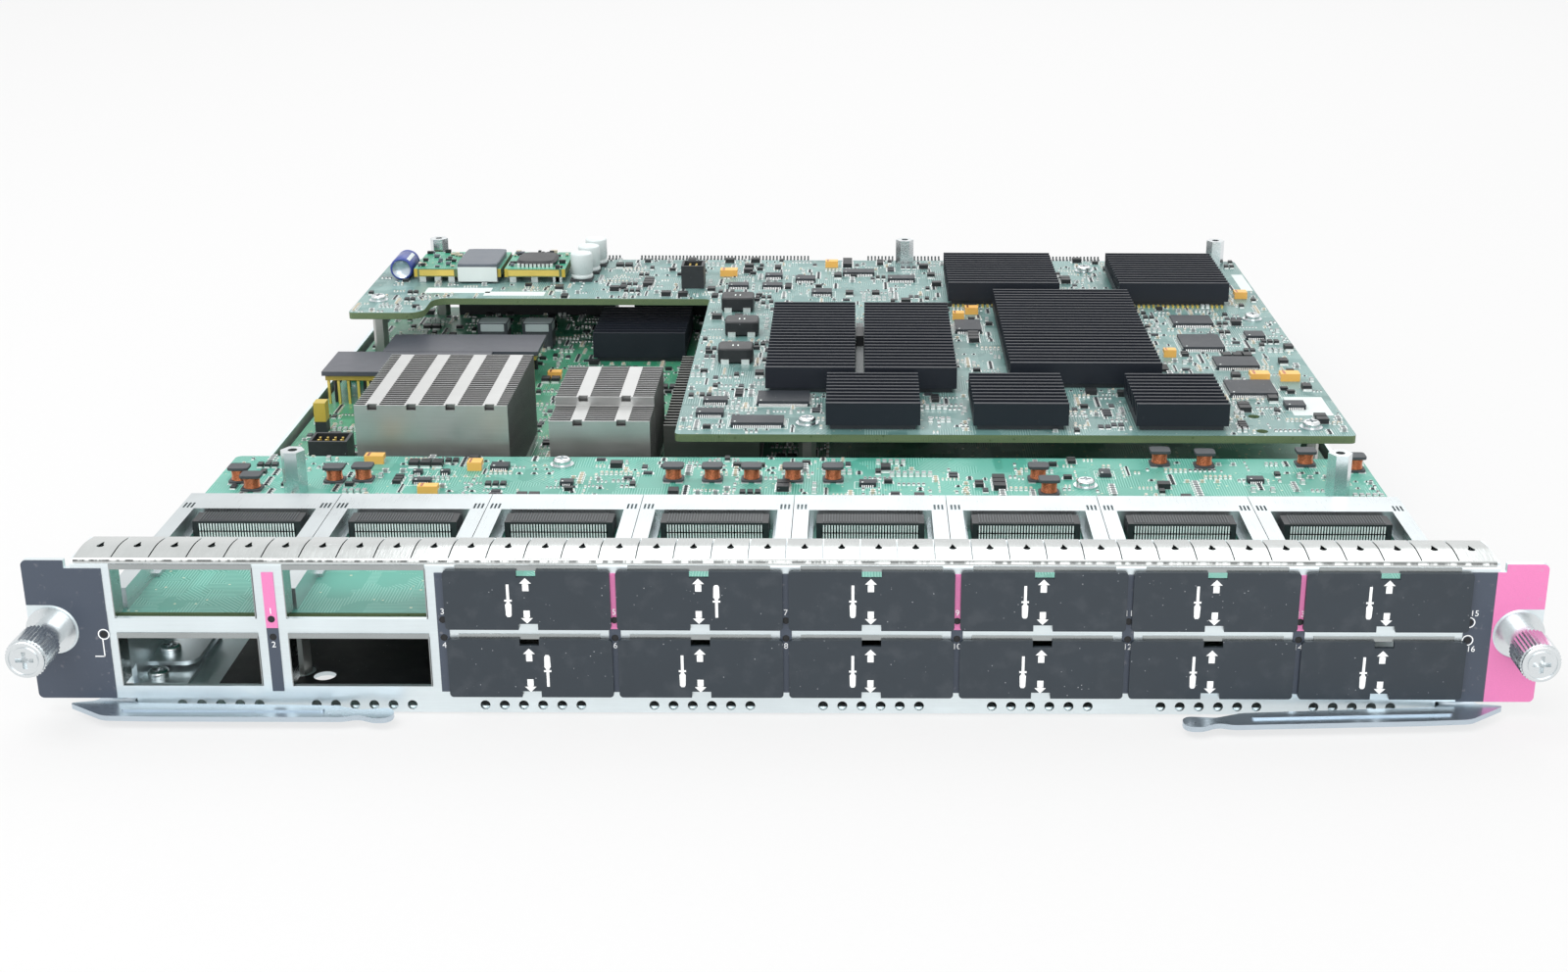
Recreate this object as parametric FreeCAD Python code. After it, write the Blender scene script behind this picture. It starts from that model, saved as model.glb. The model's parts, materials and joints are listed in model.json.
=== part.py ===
import FreeCAD, Part
import math
import os

# Switch line card: a folded faceplate with two rows of module bays, a bottom tray and three
# stacked circuit boards. Millimetres. X runs to the right seen from the front, Y runs back from
# the faceplate's front surface, Z runs up from the card's flat underside. X = 0 is the middle.

# Faceplate: front wall, top flange and one ear at each end
face_width = 389.0
face_height = 42.5
face_sheet = 1.4
fold_radius = 1.6
ear_width = 12.5
flange_half_width = face_width / 2 - ear_width
flange_depth = 16.0
relief_width = 1.6
relief_depth = 2.2
ear_bottom = 3.8
ear_corner_radius = 1.5
face_end_step = 4.0
centre_half_width = flange_half_width - face_end_step
lever_notch_width = 9.0
lower_edge_half_width = centre_half_width - lever_notch_width
vent_radius = 1.3
vent_pitch = 5.0
vent_height = 2.1

# Module bays
bay_columns = 8
bay_end_margin = 2.0
bay_bar = 7.5
bay_pitch = 2 * (centre_half_width - bay_end_margin) / bay_columns
bay_width = bay_pitch - bay_bar
bay_height = 14.0
bay_ceiling_gap = 2.1
row_pitch = 19.05
open_columns = 2

# Thin parts on the face
label_thick = 0.25
label_overlap = 3.8
label_inner_edge = centre_half_width - label_overlap
label_margin = 0.1
strip_width = 3.0
strip_margin = 3.2
strip_bottom = 6.0
collar_thick = 0.25
collar_clearance = 0.1
collar_depth = 6.0
collar_lip = 1.2
light_pipe_radius = 0.9
light_pipe_length = 5.5
light_pipe_offset = 2.5
light_pipe_clearance = 0.05

# Finger strip on the top flange
finger_pitch = 9.525
finger_count = int(2 * flange_half_width // finger_pitch)
finger_slit = 0.35
finger_sheet = 0.25
finger_gap = 0.15
finger_crown = 1.4
finger_lip = 0.7
finger_slit_start = 0.6
finger_shoulder_radius = 1.1
finger_arch_radius = 24.0
finger_hole_radius = 0.95

# Port covers
cover_side_gap = 1.5
cover_width = bay_pitch - cover_side_gap
cover_height = 16.3
cover_thick = 1.0
cover_corner_radius = 1.0
cover_face_gap = 0.3
cover_notch_width = 5.0
cover_notch_depth = 1.7
cover_drop = 0.1
cover_plug_play = 2.5
cover_plug_width = bay_width - cover_plug_play
cover_plug_height = 12.6
cover_plug_wall = 1.0
cover_plug_depth = 16.0

# Tray
card_depth = 376.0
tray_sheet = 1.2
tray_side_gap = 1.5
tray_half_width = flange_half_width - tray_side_gap
tray_wall_height = 10.5
tray_wall_start = 24.0
tray_tab_height = 5.4
tray_tab_width = 6.0
insulator_thick = 0.25
insulator_front = 14.0
drain_hole_place = (-125.0, insulator_front + 5.0)
drain_hole_radius = 3.0
insulator_side_margin = 28.5
insulator_half_width = tray_half_width - insulator_side_margin
insulator_hole_clearance = 1.0

# Brackets behind the outer bays
bracket_bay_gap = 0.5
bracket_length = 42.0
bracket_tab_bottom = 8.0
bracket_foot_start = 12.0
bracket_shelf_start = 20.5
bracket_shelf_width = 13.0
bracket_shelf_drop = 2.6

# Boards. Places across them are laid out for one half width and spread with the boards.
board_side_gap = 3.1
board_half_width = tray_half_width - board_side_gap
port_board_drop = 0.9
port_board_thick = 2.4
port_board_front = 6.0
port_board_back = 129.2
main_board_top = 8.5
main_board_thick = 2.4
main_board_front = 112.0
main_board_back = 372.0
upper_board_top = 30.5
upper_board_thick = 2.6
upper_board_front = 137.2
upper_board_back = 368.0
upper_board_left_front = 303.9
upper_tab_front = 282.0
board_corner_radius = 2.0
layout_half_width = 177.4
spread = board_half_width / layout_half_width


def spread_out(places):
    """Places that begin with an X laid out for the layout's half width, at their X on these boards."""
    return [(x * spread, *others) for x, *others in places]


upper_board_inner_edge = -40.0 * spread
upper_tab_edge = -149.0 * spread
plated_hole_radius = 1.9
plated_hole_x = 148.0 * spread
plated_hole_rows = (141.8, 157.0)

# Module guide frames and sockets
frame_height = 6.0
frame_gap = 0.2
frame_front = 8.0
frame_back = 79.0
frame_side_walls = 9.0
frame_window_width = bay_pitch - frame_side_walls
frame_window_back = 66.6
frame_ledge_front = 30.0
frame_ledge_width = 1.2
frame_ledge_height = 1.0
frame_slot_count = 3
frame_slot_pitch = 1.1
frame_slot_width = 0.6
frame_slot_margin = 0.6
frame_slot_length = 4.0
socket_side_gap = 4.5
socket_width = frame_window_width - socket_side_gap
socket_depth = 9.0
socket_height = 5.6
socket_slot_height = 1.6
socket_slot_depth = 6.0

# Heat sinks
fin_thick = 1.1
fin_pitch = 3.75
fin_base = 2.6
fin_front_plate = 1.6
thin_fin_thick = 0.4
thin_fin_pitch = 2.0
chip_height = 1.7
port_chip_height = 1.4
package_margin = 1.4
fin_band_width = 4.4
fin_notch_width = 3.0
fin_notch_depth = 1.6
large_sink_x = (-141.2 * spread, -92.6 * spread)
large_sink_y = (136.5, 193.5)
large_sink_top = 40.0
large_sink_band_pitch = 12.4
small_sink_x = (-80.2 * spread, -48.0 * spread)
small_sink_y = (139.3, 189.9)
small_sink_step_y = 155.5
small_sink_top = 37.0
small_sink_step = 3.0
small_sink_band_pitch = 14.0
fin_sink_x = (-45.5 * spread, -14.0 * spread)
fin_sink_y = (158.0, 238.0)
fin_sink_gap = 1.4
fin_sink_pitch = 3.0
fin_sink_thick = 0.8
dark_sink_x = (-85.0 * spread, -49.0 * spread)
dark_sink_y = (290.7, 330.0)
dark_sink_top = 20.2
upper_sink_top = 39.6
upper_sink_layout = {
    "centre_heat_sink_left": ((-12.9, 17.4), (181.0, 266.0)),
    "centre_heat_sink_right": ((20.7, 51.8), (181.0, 266.0)),
    "front_heat_sink_left": ((8.1, 38.4), (141.5, 175.3)),
    "front_heat_sink_middle": ((55.4, 85.9), (141.5, 175.3)),
    "front_heat_sink_right": ((107.5, 137.2), (141.5, 175.3)),
    "wide_heat_sink": ((70.2, 121.8), (187.0, 286.0)),
    "rear_heat_sink_left": ((53.5, 96.8), (295.6, 345.0)),
    "rear_heat_sink_right": ((120.0, 162.8), (295.6, 345.0)),
}
upper_sink_spans = {}
for sink, ((left, right), y_span) in upper_sink_layout.items():
    upper_sink_spans[sink] = ((left * spread, right * spread), y_span)

# Fasteners
hex_across_flats = 6.35
port_standoff_height = 13.4
upper_standoff_height = 10.5
spacer_across_flats = 5.0
screw_shank_radius = 1.4
screw_head_radius = 2.8
screw_head_height = 1.9
screw_washer_radius = 3.7
screw_washer_thick = 0.5
screw_bite = 4.0
screw_recess_length = 3.4
screw_recess_width = 0.8
screw_recess_depth = 1.1
bracket_screw_reach = 2.1
hole_clearance = 0.15

# Ejector levers
lever_pivot_inset = 3.0
lever_pivot_x = centre_half_width - lever_pivot_inset
lever_pivot_y = 6.0
lever_bottom = 1.6
lever_thick = 1.4
lever_boss_radius = 5.0
lever_bead_height = 0.5
lever_bead_width = 1.6
rivet_radius = 2.0
rivet_head_radius = 3.6
rivet_head_height = 0.7
rivet_running_clearance = 0.08
rivet_side_gap = 0.1
right_lever_open_angle = 3.0

# Captive screws
captive_inset = 5.8
captive_x = face_width / 2 - captive_inset
captive_z = 23.2
knob_radius = 5.3
knob_front = -19.0
knob_length = 10.0
knob_flutes = 34
knob_flute_depth = 0.3
knob_cavity_clearance = 0.3
knob_recess_depth = 1.8
knob_recess_length = 4.6
knob_recess_width = 1.1
knob_rim = 1.2
ferrule_radius = 3.9
ferrule_bore_radius = 2.9
ferrule_lip = 1.0
ferrule_lip_radius = 2.3
ferrule_front = -8.5
ferrule_flange_radius = 6.4
ferrule_flange_thick = 0.8
ferrule_back = 2.4
ring_thick = 1.2
ring_radius = 2.7
ring_gap = 0.3
shank_radius = 1.75
shank_back = 11.0
thread_radius = 1.5
thread_length = 7.5
shank_running_clearance = 0.05

# Power parts, cans and headers on the boards
power_module_y = (328.0, 357.0)
power_module_layout = [(-161.0, -126.0, -143.0, -126.5, 8.1), (-124.5, -100.0, -120.5, -105.0, 7.5)]
power_leg_width = 3.0
power_chip_height = 2.4
power_deck_gap = 2.6
power_deck_thick = 3.2
brick_height = 12.6
brick_lid = 1.6
brick_layout = [(-160.4, -102.1, 261.6, 285.0), (-177.0, -119.0, 235.0, 261.2)]
brick_spans = [(left * spread, right * spread, front, back) for left, right, front, back in brick_layout]
brick_pin_radius = 0.8
brick_core_margin = 14.0
can_radius = 4.4
can_height = 11.2
can_foot = 0.9
upright_cans = spread_out([(-94.0, 334.5), (-92.5, 347.0), (-91.0, 359.5)])
lying_cans = spread_out([
    (-167.0, 332.0, 347.0, 4.6, upper_board_top),
    (-173.5, 264.0, 276.0, 3.4, main_board_top),
])
header_pitch = 2.54
header_wall = 1.0
header_pin_width = 0.64
header_layout = [
    ((-52.4, -43.4), (320.0, 330.0), upper_board_top, 9.2),
    ((-165.2, -152.2), (166.7, 176.7), main_board_top, 9.0),
]
header_boxes = [((a * spread, b * spread), y_span, *heights) for (a, b), y_span, *heights in header_layout]
jumper_block = ((-172.0 * spread, -168.0 * spread), (202.2, 207.0), main_board_top, 11.0)

# Soldered pieces, (centre x, centre y) or (centre x, centre y, width, depth)
drum_width = 6.4
drum_height = 5.2
drum_plate = 1.2
drum_coils = spread_out([
    (-169.6, 105.5), (-164.0, 98.5), (-140.9, 106.0), (-132.4, 107.0), (-37.9, 108.0), (-26.0, 108.0),
    (-14.0, 108.0), (-1.4, 108.0), (10.9, 108.0), (73.6, 108.8), (75.9, 96.7), (112.7, 123.5),
    (126.4, 121.8), (158.3, 123.5), (172.6, 118.6),
])
choke_width = 12.4
choke_depth = 11.0
choke_height = 5.6
square_chokes = spread_out([(-28.0, 283.6), (-24.6, 249.3), (-25.0, 214.1)])
tantalum_height = 2.7
port_tantalums = spread_out([(-132.5, 123.5, 6.0, 3.6), (-100.2, 118.0, 4.4, 4.4), (-110.5, 95.9, 6.0, 3.2)])
upper_tantalums = spread_out([
    (157.2, 198.2, 6.6, 4.6), (167.6, 198.2, 6.6, 4.6), (169.6, 308.6, 5.0, 4.4), (-34.6, 342.0, 7.0, 4.6),
    (7.4, 357.0, 5.2, 3.6), (130.2, 226.6, 4.4, 3.4), (62.0, 284.0, 5.0, 4.0), (56.6, 276.0, 4.4, 3.6),
    (35.0, 276.4, 5.6, 3.6), (41.6, 276.4, 5.6, 3.6),
])
main_tantalums = spread_out([(-97.2, 269.8, 5.2, 3.6), (-68.5, 270.2, 4.6, 3.4)])
upper_chips = spread_out([
    (144.6, 270.4, 15.0, 11.6), (143.6, 241.0, 15.0, 17.0), (152.0, 215.2, 15.0, 11.6),
    (151.8, 185.0, 16.0, 15.4), (-6.4, 172.6, 17.4, 12.0), (165.0, 251.0, 7.0, 7.0), (59.6, 262.0, 9.6, 14.0),
    (-14.0, 148.0, 17.0, 8.0), (-30.0, 157.0, 9.0, 5.0), (-29.0, 170.0, 8.0, 4.5), (18.6, 344.0, 13.0, 6.0),
    (36.0, 334.0, 11.0, 6.0), (4.0, 312.0, 8.0, 6.0), (-29.6, 322.0, 8.0, 5.0), (-16.0, 322.0, 8.0, 5.0),
    (-3.0, 333.0, 8.0, 6.0), (-16.0, 338.0, 7.0, 4.6), (163.2, 166.8, 6.6, 5.6),
])
port_chips = spread_out([
    (-92.6, 118.4, 5.6, 4.4), (-114.2, 105.0, 5.6, 2.6), (-117.0, 113.0, 2.8, 2.0), (-108.6, 113.0, 2.8, 2.0),
    (94.6, 113.6, 3.4, 4.6), (21.4, 103.9, 5.2, 3.4), (-70.0, 104.0, 4.0, 3.0), (140.0, 108.0, 5.0, 3.4),
])
relay_height = 10.5
relays = spread_out([(-127.2, 313.0, 11.8, 9.0), (-109.4, 313.0, 11.8, 9.0)])

# Rear connectors
backplane_layout = [(-150.0, -84.0), (-76.0, -2.0), (22.0, 34.0), (42.0, 55.0), (96.0, 124.0)]
backplane_spans = [(left * spread, right * spread) for left, right in backplane_layout]
backplane_groove_pitch = 2.6
backplane_groove_width = 1.6
backplane_groove_depth = 5.0
backplane_undercut = 1.5
backplane_back = 394.0
backplane_depth = 34.0
backplane_gap = 0.3
backplane_drop = 4.0

# Heights and places that follow from the sizes above
top_bay_floor = face_height - bay_ceiling_gap - bay_height
bottom_bay_floor = top_bay_floor - row_pitch
port_board_top = top_bay_floor - port_board_drop
port_board_bottom = port_board_top - port_board_thick
port_board_middle = port_board_top - port_board_thick / 2
main_board_bottom = main_board_top - main_board_thick
upper_board_bottom = upper_board_top - upper_board_thick
floor_top = tray_sheet
insulator_top = floor_top + insulator_thick
lever_top = lever_bottom + lever_thick
bay_centres = [(column - (bay_columns - 1) / 2) * bay_pitch for column in range(bay_columns)]
bay_seams = [(seam - bay_columns / 2) * bay_pitch for seam in range(1, bay_columns)]
bracket_inner = bay_centres[0] - bay_width / 2 - bracket_bay_gap
bracket_shelf_top = bottom_bay_floor - bracket_shelf_drop
mid_bar = top_bay_floor - (row_pitch - bay_height) / 2
lower_light_row = mid_bar - light_pipe_offset
upper_light_row = mid_bar + light_pipe_offset
status_light_row = lower_light_row + 0.6
ear_light_x = label_inner_edge + light_pipe_radius + 0.4

# Fastener places on the boards, (x, y)
port_standoffs = spread_out([(-150.3, 96.5), (162.5, 96.5)])
port_screws = spread_out([(-73.8, 121.4), (87.6, 103.6)])
upper_standoffs = spread_out([(37.9, 362.0), (168.0, 362.0), (-157.0, 362.0)])
upper_screws = spread_out([(-169.5, 300.0), (2.0, 148.0), (164.4, 145.4), (168.7, 276.0), (112.0, 350.0)])
front_post_y = 22.0
tray_bosses = spread_out([(-150.0, 122.0), (30.0, 122.0), (150.0, 122.0), (-150.0, 230.0), (150.0, 230.0)])


# ---- Small shape helpers ----

def vector(x, y, z):
    return FreeCAD.Vector(x, y, z)


def block(x_span, y_span, z_span):
    """A box between two limits on each axis."""
    size = [span[1] - span[0] for span in (x_span, y_span, z_span)]
    return Part.makeBox(size[0], size[1], size[2], vector(x_span[0], y_span[0], z_span[0]))


def around(middle, width):
    """The span of a width about its middle."""
    return (middle - width / 2, middle + width / 2)


def upright(x, y, radius, bottom, top):
    """A cylinder along Z."""
    return Part.makeCylinder(radius, top - bottom, vector(x, y, bottom))


def along_y(x, z, radius, front, back):
    """A cylinder along Y."""
    return Part.makeCylinder(radius, back - front, vector(x, front, z), vector(0, 1, 0))


def fuse(shapes):
    """One solid from touching or overlapping solids."""
    return shapes[0].multiFuse(shapes[1:]).removeSplitter()


def on_xy(a, b):
    return vector(a, b, 0)


def on_xz(a, b):
    return vector(a, 0, b)


def on_yz(a, b):
    return vector(0, a, b)


def outline(corners, place):
    """A closed face through (a, b, radius) corners, each corner rounded by its radius."""
    marks = []
    for index, (a, b, radius) in enumerate(corners):
        here = vector(a, b, 0)
        before = corners[index - 1]
        after = corners[(index + 1) % len(corners)]
        back = (vector(before[0], before[1], 0) - here).normalize()
        ahead = (vector(after[0], after[1], 0) - here).normalize()
        if radius == 0:
            marks.append((here, None, here))
            continue
        half = back.getAngle(ahead) / 2
        run = radius / math.tan(half)
        to_centre = (back + ahead).normalize()
        middle = here + to_centre * (radius / math.sin(half) - radius)
        marks.append((here + back * run, middle, here + ahead * run))
    edges = []
    for index, (start, middle, end) in enumerate(marks):
        if middle is not None:
            edges.append(Part.Arc(place(*start[:2]), place(*middle[:2]), place(*end[:2])).toShape())
        following = marks[(index + 1) % len(marks)][0]
        if (following - end).Length > 1e-6:
            edges.append(Part.LineSegment(place(*end[:2]), place(*following[:2])).toShape())
    return Part.Face(Part.Wire(Part.__sortEdges__(edges)))


def plate_xy(corners, bottom, top):
    """A flat plate with an outline in X and Y."""
    face = outline(corners, on_xy)
    face.translate(vector(0, 0, bottom))
    return face.extrude(vector(0, 0, top - bottom))


def plate_xz(corners, front, back):
    """A flat plate with an outline in X and Z."""
    face = outline(corners, on_xz)
    face.translate(vector(0, front, 0))
    return face.extrude(vector(0, back - front, 0))


def section_x(corners, left, right):
    """A bar along X with its section in Y and Z."""
    face = outline(corners, on_yz)
    face.translate(vector(left, 0, 0))
    return face.extrude(vector(right - left, 0, 0))


def rectangle(a_span, b_span, radius=0):
    """Corner list of a rectangle."""
    return [
        (a_span[0], b_span[0], radius),
        (a_span[1], b_span[0], radius),
        (a_span[1], b_span[1], radius),
        (a_span[0], b_span[1], radius),
    ]


def hexagon(x, y, across_flats, bottom, top):
    """A hexagonal bar along Z."""
    reach = across_flats / math.sqrt(3)
    corners = []
    for side in range(6):
        angle = math.radians(60 * side)
        corners.append((x + reach * math.cos(angle), y + reach * math.sin(angle), 0))
    return plate_xy(corners, bottom, top)


def mirror_x(shape):
    """The same shape on the other side of X = 0."""
    return shape.mirror(vector(0, 0, 0), vector(1, 0, 0))


def below_port_board(shape):
    """The same shape hanging under the port board."""
    return shape.mirror(vector(0, 0, port_board_middle), vector(0, 0, 1))


def save(name, solids):
    """Write one node, as one solid or as a group of separate solids."""
    shape = solids[0] if len(solids) == 1 else Part.makeCompound(solids)
    shape.exportStep("parts/" + name + ".step")
    print(name, len(shape.Solids), round(shape.Volume, 1), shape.isValid())


# ---- Faceplate and what is on it ----

def bay_floors():
    return [top_bay_floor, bottom_bay_floor]


def vent_places():
    """Centres of the small holes in the lower band, five under each end bay and six elsewhere."""
    places = []
    for centre in bay_centres:
        end_bay = abs(centre) > bay_pitch * (bay_columns / 2 - 1)
        count = 5 if end_bay else 6
        shift = -math.copysign(bay_pitch * 0.15, centre) if end_bay else 0
        for step in range(count):
            places.append(centre + shift + (step - (count - 1) / 2) * vent_pitch)
    return places


def light_places():
    """Centres of the small indicator holes, (x, z)."""
    rows = (lower_light_row, upper_light_row)
    places = [(x, z) for x in bay_seams + [ear_light_x] for z in rows]
    return places + [(-ear_light_x, status_light_row)]


def make_faceplate():
    half = face_width / 2
    relief_edge = flange_half_width + relief_width
    step = face_height - relief_depth
    straight = face_height - fold_radius
    right = [
        (lower_edge_half_width, 0, 0),
        (lower_edge_half_width, ear_bottom, 0),
        (half, ear_bottom, ear_corner_radius),
        (half, face_height, ear_corner_radius),
        (relief_edge, face_height, 0),
        (relief_edge, step, 0),
        (flange_half_width, step, 0),
        (flange_half_width, straight, 0),
    ]
    left = [(-x, z, radius) for x, z, radius in reversed(right)]
    wall = plate_xz(right + left, 0, face_sheet)
    fold = section_x([
        (0, straight, 0),
        (0, face_height, fold_radius),
        (flange_depth, face_height, 0),
        (flange_depth, face_height - face_sheet, 0),
        (face_sheet, face_height - face_sheet, fold_radius - face_sheet),
        (face_sheet, straight, 0),
    ], -flange_half_width, flange_half_width)
    front = -1
    cuts = []
    for centre in bay_centres:
        for floor in bay_floors():
            cuts.append(block(around(centre, bay_width), (front, face_sheet + 1), (floor, floor + bay_height)))
    cuts += [along_y(x, vent_height, vent_radius, front, face_sheet + 1) for x in vent_places()]
    pipe_hole = light_pipe_radius + light_pipe_clearance
    cuts += [along_y(x, z, pipe_hole, front, face_sheet + 1) for x, z in light_places()]
    ferrule_hole = ferrule_radius + light_pipe_clearance
    for x in (-captive_x, captive_x):
        cuts.append(along_y(x, captive_z, ferrule_hole, front, face_sheet + 1))
    return fuse([wall, fold]).cut(cuts)


def make_edge_gasket():
    """Sprung finger strip: a lip in front of the fold and an arched finger at each pitch."""
    lip_bottom = face_height - finger_lip
    lip_back = -finger_gap
    lip_front = lip_back - finger_sheet
    heel = flange_depth - 0.2
    crest = flange_depth / 2
    shoulder = face_height + 0.26
    crown = face_height + finger_crown
    arch = section_x([
        (lip_front, lip_bottom, 0),
        (lip_back, lip_bottom, 0),
        (lip_back, shoulder, finger_shoulder_radius - finger_sheet),
        (crest, crown - finger_sheet, finger_arch_radius),
        (heel, face_height, 0),
        (heel, face_height + finger_sheet, 0),
        (crest, crown, finger_arch_radius + finger_sheet),
        (lip_front, shoulder + finger_sheet, finger_shoulder_radius),
    ], -finger_count * finger_pitch / 2, finger_count * finger_pitch / 2)
    low = face_height - 0.4
    high = crown + 1
    cuts = []
    for finger in range(finger_count):
        left = (finger - finger_count / 2) * finger_pitch
        centre = left + finger_pitch / 2
        if finger > 0:
            cuts.append(block(around(left, finger_slit), (finger_slit_start, flange_depth), (low, high)))
        cuts.append(upright(centre, crest - 1, finger_hole_radius, low, high))
        half = finger_hole_radius * 0.75
        tail = [(centre - half, crest - half, 0), (centre + half, crest - half, 0), (centre, crest + 3 * half, 0)]
        cuts.append(plate_xy(tail, low, high))
    return arch.cut(cuts)


def make_bay_collars():
    """A thin sleeve round the sides and top of each bay window, with a lip up over the face."""
    collars = []
    for centre in bay_centres:
        for floor in bay_floors():
            inset = collar_clearance
            wide = around(centre, bay_width - 2 * inset)
            tall = (floor + inset, floor + bay_height - inset)
            lip_front = -collar_clearance / 2 - collar_thick
            outer = block(wide, (lip_front, collar_depth), tall)
            hollow_wide = (wide[0] + collar_thick, wide[1] - collar_thick)
            hollow_tall = (tall[0] - 1, tall[1] - collar_thick)
            inner = block(hollow_wide, (lip_front - 1, collar_depth + 1), hollow_tall)
            lip_span = (tall[1] - collar_thick, tall[1] + collar_lip)
            lip = block(wide, (lip_front, lip_front + collar_thick), lip_span)
            collars.append(fuse([outer.cut(inner), lip]))
    return collars


def make_ear_label():
    """The right ear's overlay, with a round cut round the captive screw, open to the outer edge."""
    outer = face_width / 2 - label_margin
    top = face_height - label_margin
    bottom = ear_bottom + label_margin
    step_edge = flange_half_width + relief_width + label_margin
    step = face_height - relief_depth - label_margin
    corner = ear_corner_radius - label_margin
    sheet = plate_xz([
        (label_inner_edge, bottom, 0),
        (outer, bottom, corner),
        (outer, top, corner),
        (step_edge, top, 0),
        (step_edge, step, 0),
        (label_inner_edge, step, 0),
    ], -label_thick, 0)
    gap = ferrule_flange_radius + 0.5
    ring = along_y(captive_x, captive_z, gap, -1, 1)
    mouth = block((captive_x, outer + 1), (-1, 1), (captive_z - gap, captive_z + gap))
    pipe_hole = light_pipe_radius + light_pipe_clearance
    holes = [along_y(x, z, pipe_hole, -1, 1) for x, z in light_places() if x > label_inner_edge]
    return sheet.cut([ring, mouth] + holes)


def make_left_label():
    """The left ear's overlay: the right one mirrored, with a single indicator hole."""
    patch_height = 2 * light_pipe_offset + 4 * light_pipe_radius
    patch = block(around(ear_light_x, 3 * light_pipe_radius), (-label_thick, 0), around(mid_bar, patch_height))
    sheet = mirror_x(fuse([make_ear_label(), patch]))
    return sheet.cut(along_y(-ear_light_x, status_light_row, light_pipe_radius + light_pipe_clearance, -1, 1))


def make_column_labels():
    top = face_height - strip_margin
    strips = []
    pipe_hole = light_pipe_radius + light_pipe_clearance
    for seam in bay_seams:
        strip = block(around(seam, strip_width), (-label_thick, 0), (strip_bottom, top))
        holes = [along_y(seam, z, pipe_hole, -1, 1) for z in (lower_light_row, upper_light_row)]
        strips.append(strip.cut(holes))
    return strips


def make_light_pipes():
    front = -label_thick
    return [along_y(x, z, light_pipe_radius, front, light_pipe_length) for x, z in light_places()]


def make_port_cover(centre, floor):
    """A dust cover: a thin plate with a pry notch at top and bottom, and a three-sided plug."""
    plate_top = floor + bay_height - cover_drop
    plate_bottom = plate_top - cover_height
    back = -cover_face_gap
    front = back - cover_thick
    half = cover_width / 2
    notch = cover_notch_width / 2
    plate = plate_xz([
        (centre - half, plate_bottom, cover_corner_radius),
        (centre - notch, plate_bottom, 0),
        (centre - notch, plate_bottom + cover_notch_depth, 0),
        (centre + notch, plate_bottom + cover_notch_depth, 0),
        (centre + notch, plate_bottom, 0),
        (centre + half, plate_bottom, cover_corner_radius),
        (centre + half, plate_top, cover_corner_radius),
        (centre + notch, plate_top, 0),
        (centre + notch, plate_top - cover_notch_depth, 0),
        (centre - notch, plate_top - cover_notch_depth, 0),
        (centre - notch, plate_top, 0),
        (centre - half, plate_top, cover_corner_radius),
    ], front, back)
    plug_bottom = floor + (bay_height - cover_plug_height) / 2
    plug_top = plug_bottom + cover_plug_height
    plug_half = cover_plug_width / 2
    wall = cover_plug_wall
    plug = plate_xz([
        (centre - plug_half, plug_bottom, 0),
        (centre + plug_half, plug_bottom, 0),
        (centre + plug_half, plug_top, 0),
        (centre + plug_half - wall, plug_top, 0),
        (centre + plug_half - wall, plug_bottom + wall, 0),
        (centre - plug_half + wall, plug_bottom + wall, 0),
        (centre - plug_half + wall, plug_top, 0),
        (centre - plug_half, plug_top, 0),
    ], back, cover_plug_depth)
    return fuse([plate, plug])


# ---- Tray and brackets ----

def make_base_tray():
    """Folded tray: floor, two low side walls, a rear lip and tabs spot-welded to the faceplate."""
    front = face_sheet
    floor = block((-tray_half_width, tray_half_width), (front, card_depth), (0, floor_top))
    wall_inner = tray_half_width - tray_sheet
    pieces = [floor]
    for side in ((-tray_half_width, -wall_inner), (wall_inner, tray_half_width)):
        pieces.append(block(side, (tray_wall_start, card_depth), (0, tray_wall_height)))
    pieces.append(block((-wall_inner, wall_inner), (card_depth - tray_sheet, card_depth), (0, 6.0)))
    for seam in bay_seams:
        tab_z = (0, floor_top + tray_tab_height)
        tab = block(around(seam, tray_tab_width), (front, front + tray_sheet), tab_z)
        pieces.append(tab)
    x, y, seat = bracket_screw_places()[0]
    radius = screw_shank_radius + hole_clearance
    holes = [upright(side, y, radius, -1, seat) for side in (x, -x)]
    holes.append(upright(*drain_hole_place, drain_hole_radius + hole_clearance, -1, floor_top + 1))
    return fuse(pieces).cut(holes)


def floor_hole_places():
    """Where a spacer stands on the tray floor, (x, y, top)."""
    on_floor = [place for place in port_standoffs + port_screws if place[1] < main_board_front]
    places = [(x, y, port_board_bottom) for x, y in on_floor]
    places += [(x, y, main_board_bottom) for x, y in main_board_supports()]
    frames_bottom = port_board_bottom - frame_height
    return places + [(seam, front_post_y, frames_bottom) for seam in bay_seams]


def main_board_supports():
    return tray_bosses + upper_screws[:1] + upper_screws[3:] + upper_standoffs


def make_insulator_sheet():
    back = card_depth - tray_sheet - 4.0
    half = insulator_half_width
    sheet = block((-half, half), (insulator_front, back), (floor_top, insulator_top))
    radius = spacer_across_flats / math.sqrt(3) + insulator_hole_clearance
    holes = [upright(x, y, radius, 0, insulator_top + 1) for x, y, top in floor_hole_places()]
    holes.append(upright(*drain_hole_place, drain_hole_radius, 0, insulator_top + 1))
    return sheet.cut(holes)


def bracket_screw_places():
    """Screws on the left bracket, (x, y, seat): one on its foot and one on its shelf."""
    x = bracket_inner + screw_head_radius + 1.2
    foot_top = floor_top + tray_sheet
    return [(x, bracket_shelf_start - 4, foot_top), (x, bracket_shelf_start + 7, bracket_shelf_top)]


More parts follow.
